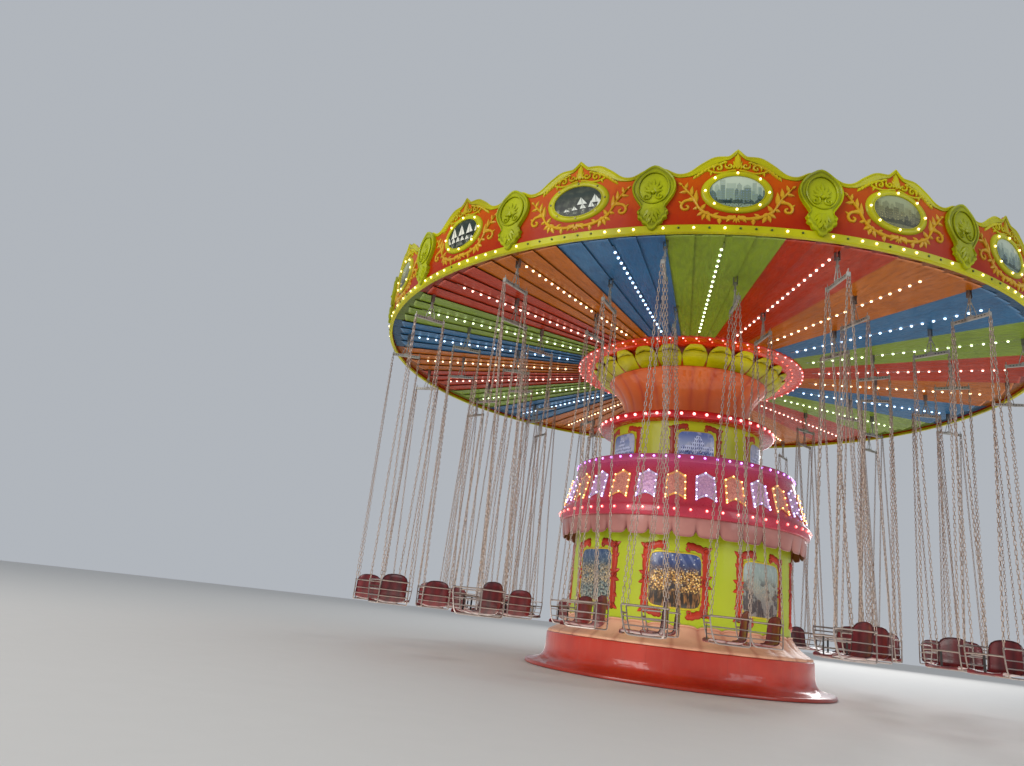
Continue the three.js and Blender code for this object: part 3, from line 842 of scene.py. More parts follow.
def crackleSkin(name, colour, deep, frameColour):
    # Crinkled foil behind varnish: cells of two shades, and a plainer raised rim
    paint = Paint(name)
    cells = paint.cells(26.0)
    fine = paint.noise(50.0, 4.0).over(0.35, 0.65)
    rim = paint.tone().over(0.5, 0.9)
    shade = paint.mix(cells * 0.8 + fine * 0.2, colour, deep)
    shade = paint.mix(rim, shade, paint.mix(fine, frameColour, deep))
    return paint.finish(Base_Color=shade, Roughness=fine * 0.15 + 0.22, Metallic=(1.0 - rim) * 0.25,
                        Coat_Weight=0.3, Coat_Roughness=0.08,
                        Normal=paint.bump(cells + fine * 0.3, 0.5, 0.004))


arrowOutline = np.array(band["arrow"], float)
arrowOutline = np.concatenate([arrowOutline, (arrowOutline * (-1, 1))[-2:0:-1]])
arrow = boss(arrowOutline,
             [(0, 15, 0), (0.45, 14, 0), (0.78, 13, 0), (0.82, 24, 1), (0.95, 24, 1), (1.0, 12, 1)],
             (0, 2940))
arrowAngles = evenly(band["panels"], band["first"])
makePiece("arrowPanels", slotted(onRing(arrow, bandRadius, arrowAngles), np.arange(band["panels"]) % 2),
          [crackleSkin("arrowGold", (222, 150, 132), (176, 98, 90), (248, 186, 92)),
           crackleSkin("arrowSilver", (222, 176, 206), (158, 120, 168), (218, 208, 232))],
          "base")

# Lamps: a shape of a few dozen faces, at the places and in the colours of each row. A tint is the
# light of the crown and of the foot.
lampShape = bulb(6)
lampPower = 3.6
lampTints = {"gold": ((1.0, 0.7, 0.34, 1), (1.0, 0.34, 0.06, 1)),
             "silver": ((0.84, 0.78, 1.0, 1), (0.4, 0.28, 0.95, 1)),
             "red": ((1.0, 0.42, 0.36, 1), (1.0, 0.04, 0.05, 1)),
             "violet": ((0.7, 0.4, 1.0, 1), (0.34, 0.06, 0.85, 1)),
             "rose": ((1.0, 0.68, 0.62, 1), (1.0, 0.12, 0.14, 1)),
             "ember": ((1.0, 0.34, 0.24, 1), (0.8, 0.04, 0.02, 1)),
             "warm": ((1.0, 0.92, 0.55, 1), (0.95, 0.6, 0.1, 1)),
             "overRed": ((1.0, 0.88, 0.82, 1), (1.0, 0.4, 0.3, 1)),
             "overOrange": ((1.0, 0.94, 0.78, 1), (1.0, 0.62, 0.25, 1)),
             "overBlue": ((0.86, 0.95, 1.0, 1), (0.35, 0.62, 1.0, 1)),
             "overGreen": ((0.96, 1.0, 0.88, 1), (0.6, 0.8, 0.36, 1))}
lampFinish = {name: lampGlass("lamp" + name[0].upper() + name[1:], core, rim, lampPower)
              for name, (core, rim) in lampTints.items()}


def lamps(spots, outward, size, slot=0):
    # A lamp at each spot. Its tone is drawn at random.
    shape = slotted({**lampShape, "points": lampShape["points"] * size}, slot)
    return placed(shape, spots, facing(spots, outward), rng.random(len(spots)))


def ringLamps(radius, height, count, first, size, slot=0, rise=0.0, out=1.0):
    angles = evenly(count, first)
    return lamps(polar(radius, angles, height), outwards(angles) * (out, out, 1) + (0, 0, rise), size, slot)


def arrowLamps(chosen, slot):
    path = np.array(band["arrowLamps"], float)
    path = np.concatenate([path, path[1:-1] * (-1, 1)])
    reach = bandRadius(path[:, 1])
    angle = arrowAngles[chosen][:, None] + np.degrees(path[:, 0] / reach)
    places = polar(reach + band["lampOut"], angle, path[:, 1] + 0 * angle).reshape(-1, 3)
    return lamps(places, outwards(angle.ravel(), band["lampRise"]), band["arrowLamp"], slot)


onArrows = [arrowLamps(np.arange(first, band["panels"], 2), first) for first in (0, 1)]
makePiece("bandLamps", [*onArrows, ringLamps(**band["lowLamps"], slot=2),
                        ringLamps(**band["highLamps"], slot=3)],
          [lampFinish[key] for key in ("gold", "silver", "red", "violet")], "base")
print("base ready")


# Sliding upper drum, its pictures and its collar
mast = {"columns": 120, "radius": 1338, "inner": 1278, "floor": 523.6, "ceiling": 4093, "top": 4133}
outside = [(mast["radius"], height) for height in (1500, 2600, 3500, mast["top"])]
mastWall = [(0, mast["ceiling"]), (mast["inner"], mast["ceiling"]), (mast["inner"], mast["floor"]),
            (mast["radius"] - 0.5, mast["floor"]), *outside, (0, mast["top"])]
mastLime = glossPaint("mastLime", (190, 194, 18), (160, 170, 10), (160, 160, 50), rough=0.34, coat=0.12,
                      peel=0.2, grime=0.25)
makePiece("mastWall", turned(mastWall, mast["columns"]), [mastLime], "mast", ["upper_drum"])
pictureWall("upper", domePicture("domePicture"), "mast")

collar = {"profile": [(0, 4134), (1330, 4134), (1520, 4138), (1546, 4150), (1558, 4172), (1558, 4240),
                      (1548, 4264), (1528, 4276), (1500, 4279), (1470, 4272), (1440, 4279), (0, 4279)],
          "lamps": {"radius": 1556, "height": 4207, "count": 48, "first": 1.2, "size": 27}}
collarRed = glossPaint("collarRed", (206, 26, 34), (150, 12, 26), (130, 40, 40), rough=0.2, coat=0.6)
makePiece("collarRing", turned(collar["profile"], 144), [collarRed], "mast", ["lamp_collar"])
makePiece("collarLamps", ringLamps(**collar["lamps"]), [lampFinish["rose"]], "mast")
print("mast ready")


# Cone, petals and crown at the root of the canopy. The cone has 24 lobes with a dark line between them:
# painted shade in the groove.
cone = {"profile": [(0, 4279.6), (300, 4279.6), (300, 4286.4), (1050, 4286.4), (1062, 4296), (1092, 4440),
                    (1144, 4640), (1216, 4795), (1306, 4925), (1404, 5030), (1438, 5084.5), (0, 5084.5)],
        "lobes": 24, "swell": 11}
coneOrange = glossPaint("coneOrange", (226, 108, 8), (196, 68, 4), (204, 116, 40), rough=0.3, peel=0.35,
                        grime=0.15, glaze=0.02)


def between(turn):
    # 1 on the lines between the cone's lobes and 0 in their middles
    return np.abs(np.sin(np.radians(turn * cone["lobes"] / 2)))


def coneSwell(turn, step):
    return -cone["swell"] * between(turn) ** 8 * np.clip((step - 0.12) * 3, 0, 1) * (step < 0.97)


# Painted shade along the grooves between the lobes
def coneTone(turn, step):
    return 0.8 * between(turn) ** 14 * np.clip(step * 4 - 0.6, 0, 1)


conePath = np.concatenate([cone["profile"][:4], curveThrough(cone["profile"][4:11], 20),
                           cone["profile"][11:]])
makePiece("coneShell", turned(conePath, cone["lobes"] * 8, coneSwell, coneTone), [coneOrange], "canopy",
          ["flared_cone"])

petal = {"count": 24, "half": 7.42, "first": 7.5, "foot": 5086, "rise": 293, "inner": 1438, "bulge": 1668,
         "lip": 1768, "thick": 16, "rows": 25, "columns": 13, "crease": (0.66, 0.06, 0.022),
         "creaseDeep": 24, "lipRoll": 20, "belly": 34, "edgeRoll": 5,
         "backing": [(1405, 5085.4), (1440, 5085.4), (1540, 5150), (1608, 5250), (1630, 5352), (1630, 5358.5),
                     (1500, 5358.5)]}


def onePetal():
    # A petal rises from the cone, bulges, and turns its lip outwards over a crease. Its sides draw in as
    # an ellipse towards the top, so that it ends as a round tongue.
    s = (1 - (1 - np.linspace(0, 1, petal["rows"])) ** 1.5)[:, None]
    across = np.sin(np.linspace(-np.pi / 2, np.pi / 2, petal["columns"]))[None]
    narrow = (1 - np.clip((s - 0.36) / 0.64, 0, 1) ** 2) ** 0.5 * (0.9 + 0.1 * np.clip(s * 3, 0, 1))
    middle, bow, width = petal["crease"]
    crease = np.exp(-((s - middle - bow * np.cos(across * 2.6)) / width) ** 2)
    crease = crease * np.clip(2.6 - 2.6 * np.abs(across), 0, 1)
    edge = np.maximum(np.abs(across) * (s < 2), np.clip((s - 0.84) / 0.16, 0, 1) * 0.9)
    bulge, lip = petal["bulge"] - petal["inner"], petal["lip"] - petal["bulge"]
    reach = petal["inner"] + bulge * np.sin(np.clip(s / 0.74, 0, 1) * np.pi / 2) ** 0.9
    reach = reach + lip * np.clip((s - 0.7) / 0.3, 0, 1) ** 0.8
    reach = reach + petal["lipRoll"] * np.clip((s - 0.7) / 0.08, 0, 1) * (1 - across**2) ** 0.5
    reach = reach - petal["creaseDeep"] * crease
    reach = reach + petal["belly"] * (1 - across**2) ** 0.7 * np.sin(np.pi * s**0.8)
    reach = reach + petal["edgeRoll"] * np.exp(-((edge - 0.84) / 0.08) ** 2) * (s > 0.35)
    # Painted shade: a dark line under the lip, dark sides where the petals meet, and a darker foot.
    tone = crease * 1.2 + 0.8 * (np.abs(across) > 0.985) + 0.35 * np.clip(0.3 - s, 0, 1) * 3
    tone = np.clip(tone, 0, 1.2)
    angle = petal["first"] + petal["half"] * narrow * across
    height = petal["foot"] + petal["rise"] * s + 0 * across
    front = polar(reach, angle, height)
    back = polar(reach - petal["thick"] * (1 - np.abs(across) ** 8) * (1 - s**12), angle, height)
    tones = np.concatenate([tone, tone[::-1], tone[:1]])
    return patch(np.concatenate([front, back[::-1]]), True, False, tone=tones)


petals = aroundAxis(onePetal(), evenly(petal["count"]))
petalLime = glossPaint("petalLime", (206, 202, 4), (92, 78, 4), (176, 150, 24), rough=0.24, coat=0.15,
                       peel=0.25, grime=0.15, shine=0.15)
petalShade = glossPaint("petalShade", (170, 66, 14), (120, 36, 12))
makePiece("petals", [petals, slotted(turned(petal["backing"], 96), 1)], [petalLime, petalShade], "canopy",
          ["petal_ring"])

crown = {"profile": [(1520, 5359.8), (1780, 5359.8), (1796, 5364), (1812, 5378), (1836, 5381), (1990, 5381),
                     (2012, 5378), (2030, 5364), (2044, 5359.8), (2058, 5363), (2066, 5374), (2067, 5400),
                     (1520, 5400)],
         "inner": {"radius": 1868, "height": 5381, "count": 54, "first": 2.0, "size": 12},
         "outer": {"radius": 2044, "height": 5361, "count": 60, "first": 1.0, "size": 16}}
crownScarlet = glossPaint("crownScarlet", (214, 56, 12), (178, 26, 16), (150, 70, 40), coat=0.4)
makePiece("crownRing", turned(crown["profile"], 144), [crownScarlet], "canopy", ["crown_ring"])
crownLamps = [ringLamps(**crown[key], slot=slot, rise=-1.0, out=0.0)
              for slot, key in enumerate(("inner", "outer"))]
makePiece("crownLamps", crownLamps, [lampFinish["ember"], lampFinish["rose"]], "canopy")
print("cone and crown ready")


# Ceiling: 24 sectors of four lapped sheets, and a strip of lamps along the middle of each sector
ceiling = {"sectors": 24, "sheets": 4, "inner": 2060, "outer": 5396, "step": 62, "top": 5400.5, "lap": 18,
           "wall": 4, "gap": 0.25, "rim": [(5432, 5400), (5432, 5393), (5590, 5386), (5590, 5400)],
           "colours": ["red", "orange", "blue", "green"], "firstColour": 3}
sheetTints = {"orange": ((170, 92, 4), (124, 62, 4)), "blue": ((46, 98, 140), (44, 72, 106)),
              "green": ((118, 142, 44), (88, 108, 44)), "red": ((160, 48, 14), (126, 32, 14))}
sectorSlots = (np.arange(ceiling["sectors"]) + ceiling["firstColour"]) % len(ceiling["colours"])


def sheetSkin(name, colour, deep):
    # Varnished sheet: long streaks along it, a slow ripple, painted shade beside the lap, and a painted
    # highlight on the lap's edge and the sheet's end
    paint = Paint(name)
    across, along, _ = paint.axes()
    place = paint.joined(paint.angle() * 30.0, (across * across + along * along) ** 0.5 * 1.4, 0.0)
    streak = paint.noise(3.0, 6.0, 0.5, place=place).over(0.4, 0.75)
    slow = paint.noise(0.9).over(0.35, 0.7)
    shade = paint.mix(streak * 0.5 + slow * 0.35, colour, deep)
    # A positive tone paints shade and a negative one paints a highlight.
    shade = paint.mix(paint.tone().over(0.0, 1.0) * 0.75, shade, tinted(colour, 0.25, 0.01))
    shade = paint.mix((0.0 - paint.tone()).over(0.0, 1.0) * 0.7, shade, tinted(colour, 1.5, 0.1))
    ripple = paint.noise(0.8, 2.0, 0.5, place=place) + paint.noise(9.0, 2.0) * 0.25
    return paint.finish(Base_Color=shade, Roughness=streak * 0.18 + 0.24, Specular_IOR_Level=0.12,
                        Coat_Weight=0.06, Coat_Roughness=0.1, Normal=paint.bump(ripple, 0.5, 0.02))


def ceilingSheet():
    # One sheet from the crown to the rim. It hangs lower and reaches further out towards one side, so that
    # the rim is stepped, and its far end sags a little.
    wide = 360 / ceiling["sectors"] / ceiling["sheets"]
    share = np.array([0, 0.05, 0.16, 0.4, 0.7, 1.0])
    angle = (ceiling["gap"] - wide * 0.08 + (wide * 1.08 - ceiling["gap"]) * share)[None]
    t = (angle - angle.min()) / wide
    along = np.append(np.linspace(0, 0.985, 8), 1.0)[:, None]
    reach = ceiling["inner"] + (ceiling["outer"] + ceiling["step"] * t - ceiling["inner"]) * along
    drop = ceiling["lap"] * t**1.4 * (1 + 0.35 * along**8) + 3 * np.sin(along * 6.4) ** 2
    low = polar(reach, angle, ceiling["top"] - ceiling["wall"] - drop)
    high = polar(reach, angle, ceiling["top"] - drop)
    # Painted shade on the sheet beside its neighbour's lap, and a painted highlight on its lap edge and far
    # end.
    tone = 0.5 * np.exp(-((t - 0.06) / 0.09) ** 2) + 0 * reach
    tone[-1] = -0.9
    light = np.full((len(reach), 2), -0.9)
    grid = np.concatenate([low, low[:, -1:], high[:, -1:], high[:, ::-1]], 1)
    return patch(grid, False, True, tone=np.hstack([tone, light, tone[:, ::-1], tone[:, :1]]))


sheets = aroundAxis(ceilingSheet(), evenly(ceiling["sectors"] * ceiling["sheets"]))
# The rim plate takes a darker tint of each sector's colour: painted shade.
rimRows = [polar(radius, np.linspace(0.04, 14.96, 9), height) for radius, height in ceiling["rim"]]
rimPlate = patch(np.stack(rimRows), True, True, tone=0.8)
makePiece("ceilingSheets", [slotted(sheets, np.repeat(sectorSlots, ceiling["sheets"])),
                            slotted(aroundAxis(rimPlate, evenly(ceiling["sectors"])), sectorSlots)],
          [sheetSkin(key + "Sheet", *sheetTints[key]) for key in ceiling["colours"]], "canopy")

strip = {"first": 7.5, "start": 2190, "end": 5250, "width": 46, "depth": 9, "top": 5386, "taper": 0.6,
         "shade": 0.8, "lamps": 19, "lampStart": 2320, "lampStep": 154.5, "lampHeight": 5375, "lamp": 19,
         "clear": 75}
chairRings = {"outer": (5284, 0.0), "middle": (4310, 11.25), "inner": (3253, 0.0)}
chairsInRing = 16


def lampStrip():
    # A shallow tray that tapers over its last 12 mm at both ends
    section = np.array([(-0.5, 0.0), (-0.5, -0.7), (-0.38, -1.0), (0.38, -1.0), (0.5, -0.7), (0.5, 0.0)])
    across, drop = (section * (strip["width"], strip["depth"])).T
    rows = np.array([strip["start"], strip["start"] + 12,
                     *np.linspace(strip["start"] + 200, strip["end"] - 200, 7), strip["end"] - 12,
                     strip["end"]])[:, None]
    taper = np.array([strip["taper"], *np.ones(len(rows) - 2), strip["taper"]])[:, None]
    place = np.stack([across * taper, -rows + 0 * across, strip["top"] + drop * taper], -1)
    caps = [np.broadcast_to(place[k].mean(0), (1, 6, 3)) for k in (0, -1)]
    return patch(np.concatenate([caps[0], place, caps[1]]), False, True)


stripAngles = evenly(ceiling["sectors"], strip["first"])
stripPaints = [glossPaint("strip" + key.capitalize(),
                          tuple(strip["shade"] * part for part in sheetTints[key][0]), sheetTints[key][1],
                          rough=0.2) for key in ceiling["colours"]]
makePiece("lampStrips", slotted(aroundAxis(lampStrip(), stripAngles), sectorSlots), stripPaints, "canopy")

# The lamps of the strips, left out where a fork for a chair comes through
reach, angle = np.meshgrid(strip["lampStart"] + strip["lampStep"] * np.arange(strip["lamps"]), stripAngles)
stripSpots = polar(reach.ravel(), angle.ravel(), float(strip["lampHeight"]))
forkSpots = np.concatenate([polar(radius, evenly(chairsInRing, first), float(strip["lampHeight"]))
                            for radius, first in chairRings.values()])
free = np.linalg.norm(stripSpots[:, None] - forkSpots[None], axis=2).min(1) > strip["clear"]
slotOfLamp = np.repeat(sectorSlots, strip["lamps"])
stripLamps = [lamps(stripSpots[free & (slotOfLamp == slot)], (0, 0, -1), strip["lamp"], slot)
              for slot in range(4)]
makePiece("stripLamps", stripLamps, [lampFinish["over" + key.capitalize()] for key in ceiling["colours"]],
          "canopy")
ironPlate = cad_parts["ceiling_panels"].data
ironPlate.materials.clear()
ironPlate.materials.append(steelBoth("ceilingIron"))
print("ceiling ready")


# Rounding boards: 18 panels, each rising to a crest, with a shield over each joint. The edge holds
# half a panel as [degrees from the crest, height].
board = {"radius": 5627, "thick": 30, "bottom": 5318, "panels": 18, "crest": 8.55, "bead": 17,
         "narrow": 42, "widen": 66,
         "edge": [(0, 6441), (0.45, 6392), (1.0, 6345), (1.6, 6338), (2.4, 6334), (3.1, 6312), (3.8, 6268),
                  (4.6, 6212), (5.4, 6146), (6.1, 6110), (6.8, 6100), (7.4, 6110), (8.0, 6140), (8.6, 6175),
                  (9.3, 6190), (10, 6196)],
         "border": [(0.0, -2.0, 0), (0.0, 9.0, 0), (0.06, 17.0, 0), (0.8, 13.0, 0.1), (0.95, 9.0, 0.8),
                    (1.0, -2.0, 1.0)]}
crestAngles = evenly(board["panels"], board["crest"])
half = curveThrough(board["edge"], 31)
fromCrest, edgeHeight = np.concatenate([half[::-1] * (-1, 1), half[1:]]).T
degrees = (crestAngles[:, None] + fromCrest[None, :-1]).reshape(-1, 1)
heights = np.tile(edgeHeight[:-1], board["panels"])[:, None]
rise = board["bottom"] + (heights - board["bottom"]) * np.linspace(0, 1, 3)[None]
face, rear = (polar(board["radius"] - back, degrees, rise) for back in (0, board["thick"]))
makePiece("boardShell", patch(np.concatenate([face, rear[:, ::-1]], 1), True, True),
          [boardPaint("boardEnamel")], "canopy", ["rounding_boards"])

# Lime border that follows the crest, wide over the arch, with a bead on its edge. Its section is
# [share of the width, out, tone].
limeTrim = glossPaint("limeTrim", (182, 180, 4), (128, 118, 4), (150, 134, 34), rough=0.32, coat=0.08,
                      peel=0.25, grime=0.2, shine=0.15)
arch = np.sin(np.pi * np.clip((np.abs(fromCrest) - 1.2) / 5.0, 0, 1)) ** 1.2
wide = board["narrow"] + board["widen"] * arch
wide = np.tile(wide[:-1], board["panels"])[:, None]
# Its tone darkens the lower edge, where it steps down to the board: painted shade.
inset, out, tone = np.array(board["border"]).T
border = patch(polar(board["radius"] + out, degrees, heights + 3 - wide * inset), True, True,
               tone=np.append(tone, 0)[None])
bead = tube(polar(board["radius"] + 10, degrees[:, 0], heights[:, 0] - 4), board["bead"], 5, closed=True)
makePiece("boardBorder", [border, bead], [limeTrim], "canopy")


def onBoards(name, shape, finishes, tones=None, first=board["crest"], slots=None):
    # A piece with the same shape on every panel
    shape = onRing(shape, board["radius"], evenly(board["panels"], first), tones)
    makePiece(name, shape if slots is None else slotted(shape, slots), finishes, "canopy")


# Carving of one panel, mirrored about its middle, which is the medallion's
medallion = {"width": 834, "height": 558, "pictureWidth": 646, "pictureHeight": 432, "middle": 5860,
             "ring": 108, "ringDraw": 31, "ringOut": 30,
             "stem": [(10, -338), (90, -356), (190, -350), (290, -322), (376, -280), (440, -216), (482, -136),
                      (528, -58), (590, 20), (648, 92)],
             "hook": [(500, -112), (560, -112), (614, -130), (648, -182), (626, -236), (576, -238),
                      (562, -204), (590, -190)],
             "shoulder": [(20, 300), (80, 292), (150, 268), (230, 262), (300, 276), (350, 300)]}
medallionMiddle = (0, medallion["middle"])


def branch():
    # An acanthus branch: from under the medallion it sweeps out and up in flames, with a hook beside them.
    # A flame is its place on the stem, length, width, turn and bend.
    stem = curveThrough(medallion["stem"], 37)
    t = np.linspace(0, 1, 37)
    parts = [strand(stem, 56 * (1 - 0.6 * t) + 7 * np.sin(t * 30), 24, ribs=5)]
    for place, length, wide, turn, bend in (
            (3, 64, 30, -128, 10), (5, 70, 34, 48, -14), (8, 78, 40, -168, 16), (11, 72, 34, 40, -16),
            (14, 92, 44, 172, 22), (15, 90, 42, -146, 18), (16, 84, 40, -108, 14), (16, 70, 40, 96, -10),
            (18, 96, 40, 20, -22), (20, 64, 34, -96, 12), (23, 170, 48, -8, -26), (26, 70, 34, -84, 14),
            (28, 132, 42, -6, -22), (31, 96, 34, -82, 20), (33, 92, 34, 6, -16), (36, 60, 30, -40, 6)):
        parts.append(shifted(leaf(length * 1.1, wide * 1.4, 22, bend), stem[place][0], 0, stem[place][1],
                             turn))
    parts.append(strand(curveThrough(medallion["hook"], 19), 44 - 14 * np.linspace(0, 1, 19), 22, ribs=5))
    parts.append(shifted(leaf(58, 26, 16, 8), 640, 0, -160, -40))
    return group(*parts)


def crestHalf():
    # Under the crest: a tall curl, a scroll beside it, and short slanted leaves down the shoulder. A leaf
    # is its place, turn and length.
    parts = [shifted(flipped(scroll(54, 1.2, 38, 26, 150)), 96, 0, 362),
             shifted(scroll(66, 1.4, 42, 26, -40), 222, 0, 330),
             strand(curveThrough(medallion["shoulder"], 14), 32, 18, ribs=5)]
    for across, up, turn, length in ((120, 408, -84, 74), (168, 396, -100, 70), (262, 372, -118, 84),
                                     (306, 352, -124, 84), (350, 326, -128, 84), (394, 296, -132, 82),
                                     (436, 262, -134, 78), (476, 230, -130, 70), (300, 280, -150, 56),
                                     (52, 320, 20, 80)):
        parts.append(shifted(leaf(length, length * 0.6, 24, 12), across, 0, up, turn))
    return group(*parts)


def fan(leaves, width, depth, up, out=0.0):
    # Leaves that spread from one place: each is its turn and length
    return [shifted(leaf(length, width, depth, base=out), 0, 0, up, turn) for turn, length in leaves]


finial = [shifted(leaf(length, width, 26, bend), 0, 0, 318, turn) for length, width, turn, bend in
          ((240, 84, 0, 0), (196, 50, 14, 22), (196, 50, -14, -22), (130, 40, 34, 22), (130, 40, -34, -22))]
branches = group(branch(), flipped(branch()), *fan([(150, 78), (180, 78), (210, 78)], 34, 18, -340))
crests = group(crestHalf(), flipped(crestHalf()), *finial)
carving = shifted(group(branches, slotted(crests, 1)), up=medallion["middle"])
onBoards("boardCarving", carving, [carvedGold, carvedLime])


# Medallions: an oval picture under a wide lime ring with lamps
def pictureOval(more, count):
    return oval(medallion["pictureWidth"] + more, medallion["pictureHeight"] + more, count,
                middle=medallionMiddle)


ringPath = oval((medallion["width"] + medallion["pictureWidth"]) / 2,
                (medallion["height"] + medallion["pictureHeight"]) / 2, 52, middle=medallionMiddle)
ringWide = medallion["ring"] - medallion["ringDraw"] * np.sin(np.arange(52) * 2 * np.pi / 52) ** 2
rings = group(strand(ringPath, ringWide, medallion["ringOut"], closed=True, edge=0.5),
              strand(pictureOval(12, 52), 18, 34, closed=True, ribs=4))
onBoards("medallionRings", rings, [limeTrim])
pane = boss(pictureOval(10, 48), [(0, 20, 0), (0.4, 19, 0), (0.75, 17, 0), (1, 14, 0)], medallionMiddle)
scenes = [sailPicture("sailPicture"),
          townPicture("paleTown", (176, 188, 168), (146, 166, 144), (40, 62, 60), (120, 150, 220)),
          townPicture("duskTown", (150, 158, 122), (128, 128, 84), (44, 48, 34), (200, 184, 120))]
onBoards("medallionPictures", pane, scenes, (np.arange(board["panels"]) * 0.381 + 0.07) % 1,
         slots=[1, 2, 1, 0, 2, 0, 1, 2, 0, 1, 0, 2, 1, 0, 2, 2, 0, 0])

# Shields: an ogee head over a neck and a leafy tail, with a plain palmette in an oval
shield = {"middle": 5900, "first": -1.45,
          "side": [(0, 338), (52, 322), (130, 268), (206, 196), (256, 104), (268, 20), (244, -76),
                   (190, -168), (146, -238), (150, -280), (188, -318), (166, -352), (176, -392), (132, -420),
                   (118, -462), (66, -492), (44, -540), (0, -562)]}
shieldLime = glossPaint("shieldLime", (168, 176, 4), (88, 90, 4), (140, 130, 30), rough=0.28, coat=0.1,
                        peel=0.3, grime=0.25, shine=0.15)
right = curveThrough(shield["side"], 42)
shieldOutline = np.concatenate([right, (right * (-1, 1))[-2:0:-1]]) + (0, shield["middle"])
# The tone darkens a line at the foot of the raised rim and the rim's outer edge: painted shade.
steps = [(0, 52, 0), (0.5, 50, 0), (0.8, 44, 0.15), (0.88, 44, 0.55), (0.92, 56, 0.2), (0.97, 58, 0),
         (1.0, 40, 0.6)]
swirl = shifted(scroll(62, 1.4, 30, 30, 90), 78, 44, 5794)
shieldParts = [
    boss(shieldOutline, steps, (0, shield["middle"] - 20)),
    strand(oval(372, 430, 40, middle=(0, 5914)), 26, 26, 44, closed=True, ribs=5, edge=1.3),
    *fan([(0, 214), (24, 190), (-24, 190), (50, 160), (-50, 160), (78, 126), (-78, 126)], 66, 36, 5852, 44),
    flipped(swirl), swirl,
    # The knob darkens at its rim: painted shade.
    boss(oval(64, 64, 14, middle=(0, 5846)), [(0, 92, 0), (0.6, 86, 0), (1, 46, 1)], (0, 5846)),
    *fan([(180, 250)], 68, 38, 5652, 40), *fan([(160, 216), (-160, 216)], 68, 38, 5650, 40),
    *fan([(138, 156), (-138, 156)], 68, 38, 5640, 40), *fan([(150, 120), (-150, 120)], 68, 38, 5520, 40)]
onBoards("shields", group(*shieldParts), [shieldLime], first=shield["first"])

# Lamp band along the foot of the boards: about a third of its lamps are dark. The four rows set the
# lamps of four panels, from number 16 on.
foot = {"profile": [(5590, 5313), (5636, 5312), (5646, 5320), (5646, 5406), (5636, 5415), (5610, 5415),
                    (5590, 5330)],
        "lamps": 10, "step": 1.82, "first": 0.5, "radius": 5645.0, "height": 5366.0, "lit": 0.34, "size": 17,
        "shown": {16: "1111011111", 17: "1000000111", 0: "1010100010", 1: "1011011001"}, "ovalWidth": 742,
        "ovalHeight": 496, "ovalLamps": 8, "ovalOut": 30, "ovalSize": 16, "unlitOval": 17}
makePiece("boardFoot", turned(foot["profile"], 360), [limeTrim], "canopy")


def onAndOff(spots, degrees, on, size, offSlot):
    # Lamps that face outwards: those that are on, and a little smaller in a slot of their own the others
    return [lamps(spots[chosen], outwards(degrees[chosen]), wide, slot)
            for chosen, wide, slot in ((on, size, 0), (~on, size - 2, offSlot))]


apart = (np.arange(foot["lamps"]) - foot["lamps"] // 2) * foot["step"]
bandAngles = crestAngles[:, None] + foot["first"] + apart
lit = rng.random(bandAngles.shape) > foot["lit"]
for panel, row in foot["shown"].items():
    lit[panel] = np.array(list(row)) == "1"
bandAngles, lit = bandAngles.ravel(), lit.ravel()
ovalPath = oval(foot["ovalWidth"], foot["ovalHeight"], foot["ovalLamps"], middle=medallionMiddle)
ovalAngles = crestAngles[:, None] + np.degrees(ovalPath[:, 0] / board["radius"])
ovalSpots = polar(board["radius"] + foot["ovalOut"], ovalAngles, ovalPath[:, 1] + 0 * ovalAngles)
litOvals = np.repeat(np.arange(board["panels"]) != foot["unlitOval"], foot["ovalLamps"])
darkLamp = metalSkin("lampDark", (66, 84, 20), (40, 44, 14), metallic=0.1)
paleLamp = metalSkin("lampPale", (214, 206, 120), (160, 160, 70), metallic=0.1)
bandSpots = polar(foot["radius"], bandAngles, foot["height"])
makePiece("boardLamps", [*onAndOff(bandSpots, bandAngles, lit, foot["size"], 1),
                         *onAndOff(ovalSpots.reshape(-1, 3), ovalAngles.ravel(), litOvals,
                                   foot["ovalSize"], 2)],
          [lampFinish["warm"], darkLamp, paleLamp], "canopy")
print("boards ready")


# Roof sheets with standing seams, and the stays behind the boards. The sheets fall by the slope.
roof = {"rim": 5594, "foot": 5442, "edge": 5471, "apex": 6150, "under": 6112, "seams": 36, "seam": 15,
        "hub": [(0, 6104), (340, 6104), (350, 6122), (330, 6148), (180, 6162), (0, 6166)],
        "stays": 36, "firstStay": 3.55, "post": (5576, 5466, 6060), "brace": ((5572, 6030), (5142, 5534))}
slope = (roof["apex"] - roof["edge"]) / (roof["rim"] + 2)
sheetRows = [(reach, roof["apex"] - slope * reach) for reach in (4600, 3400, 2200, 1000)]
roofShape = turned([(0, roof["under"]), (5540, roof["foot"]), (roof["rim"], roof["foot"]),
                    (roof["rim"], roof["edge"] - 1), *sheetRows, (60, 6142), (0, 6144)], 144)


def inPlane(reaches, heights, size):
    # A thin bar in the plane behind one angle
    return tube(np.stack([0 * heights, -reaches, heights], 1), size, 6, side=(1, 0, 0))


reaches = np.linspace(320, 5570, 9)
seams = aroundAxis(inPlane(reaches, roof["apex"] - slope * reaches + 8, roof["seam"]), evenly(roof["seams"]))
roofZinc = metalSkin("roofZinc", (150, 146, 136), (112, 84, 62), rough=0.45, metallic=0.5, scale=8.0)
makePiece("roofSheets", [roofShape, seams, turned(roof["hub"], 36)], [roofZinc], "canopy", ["roof_cover"])
reach, low, high = roof["post"]
post = inPlane(np.full(5, float(reach)), np.linspace(low, high, 5), 15)
brace = inPlane(*np.linspace(*roof["brace"], 5).T, 12)
makePiece("boardStays", aroundAxis(group(post, brace), evenly(roof["stays"], roof["firstStay"])),
          [metalSkin("stayZinc", (150, 150, 150), (110, 90, 76))], "canopy")
print("roof ready")


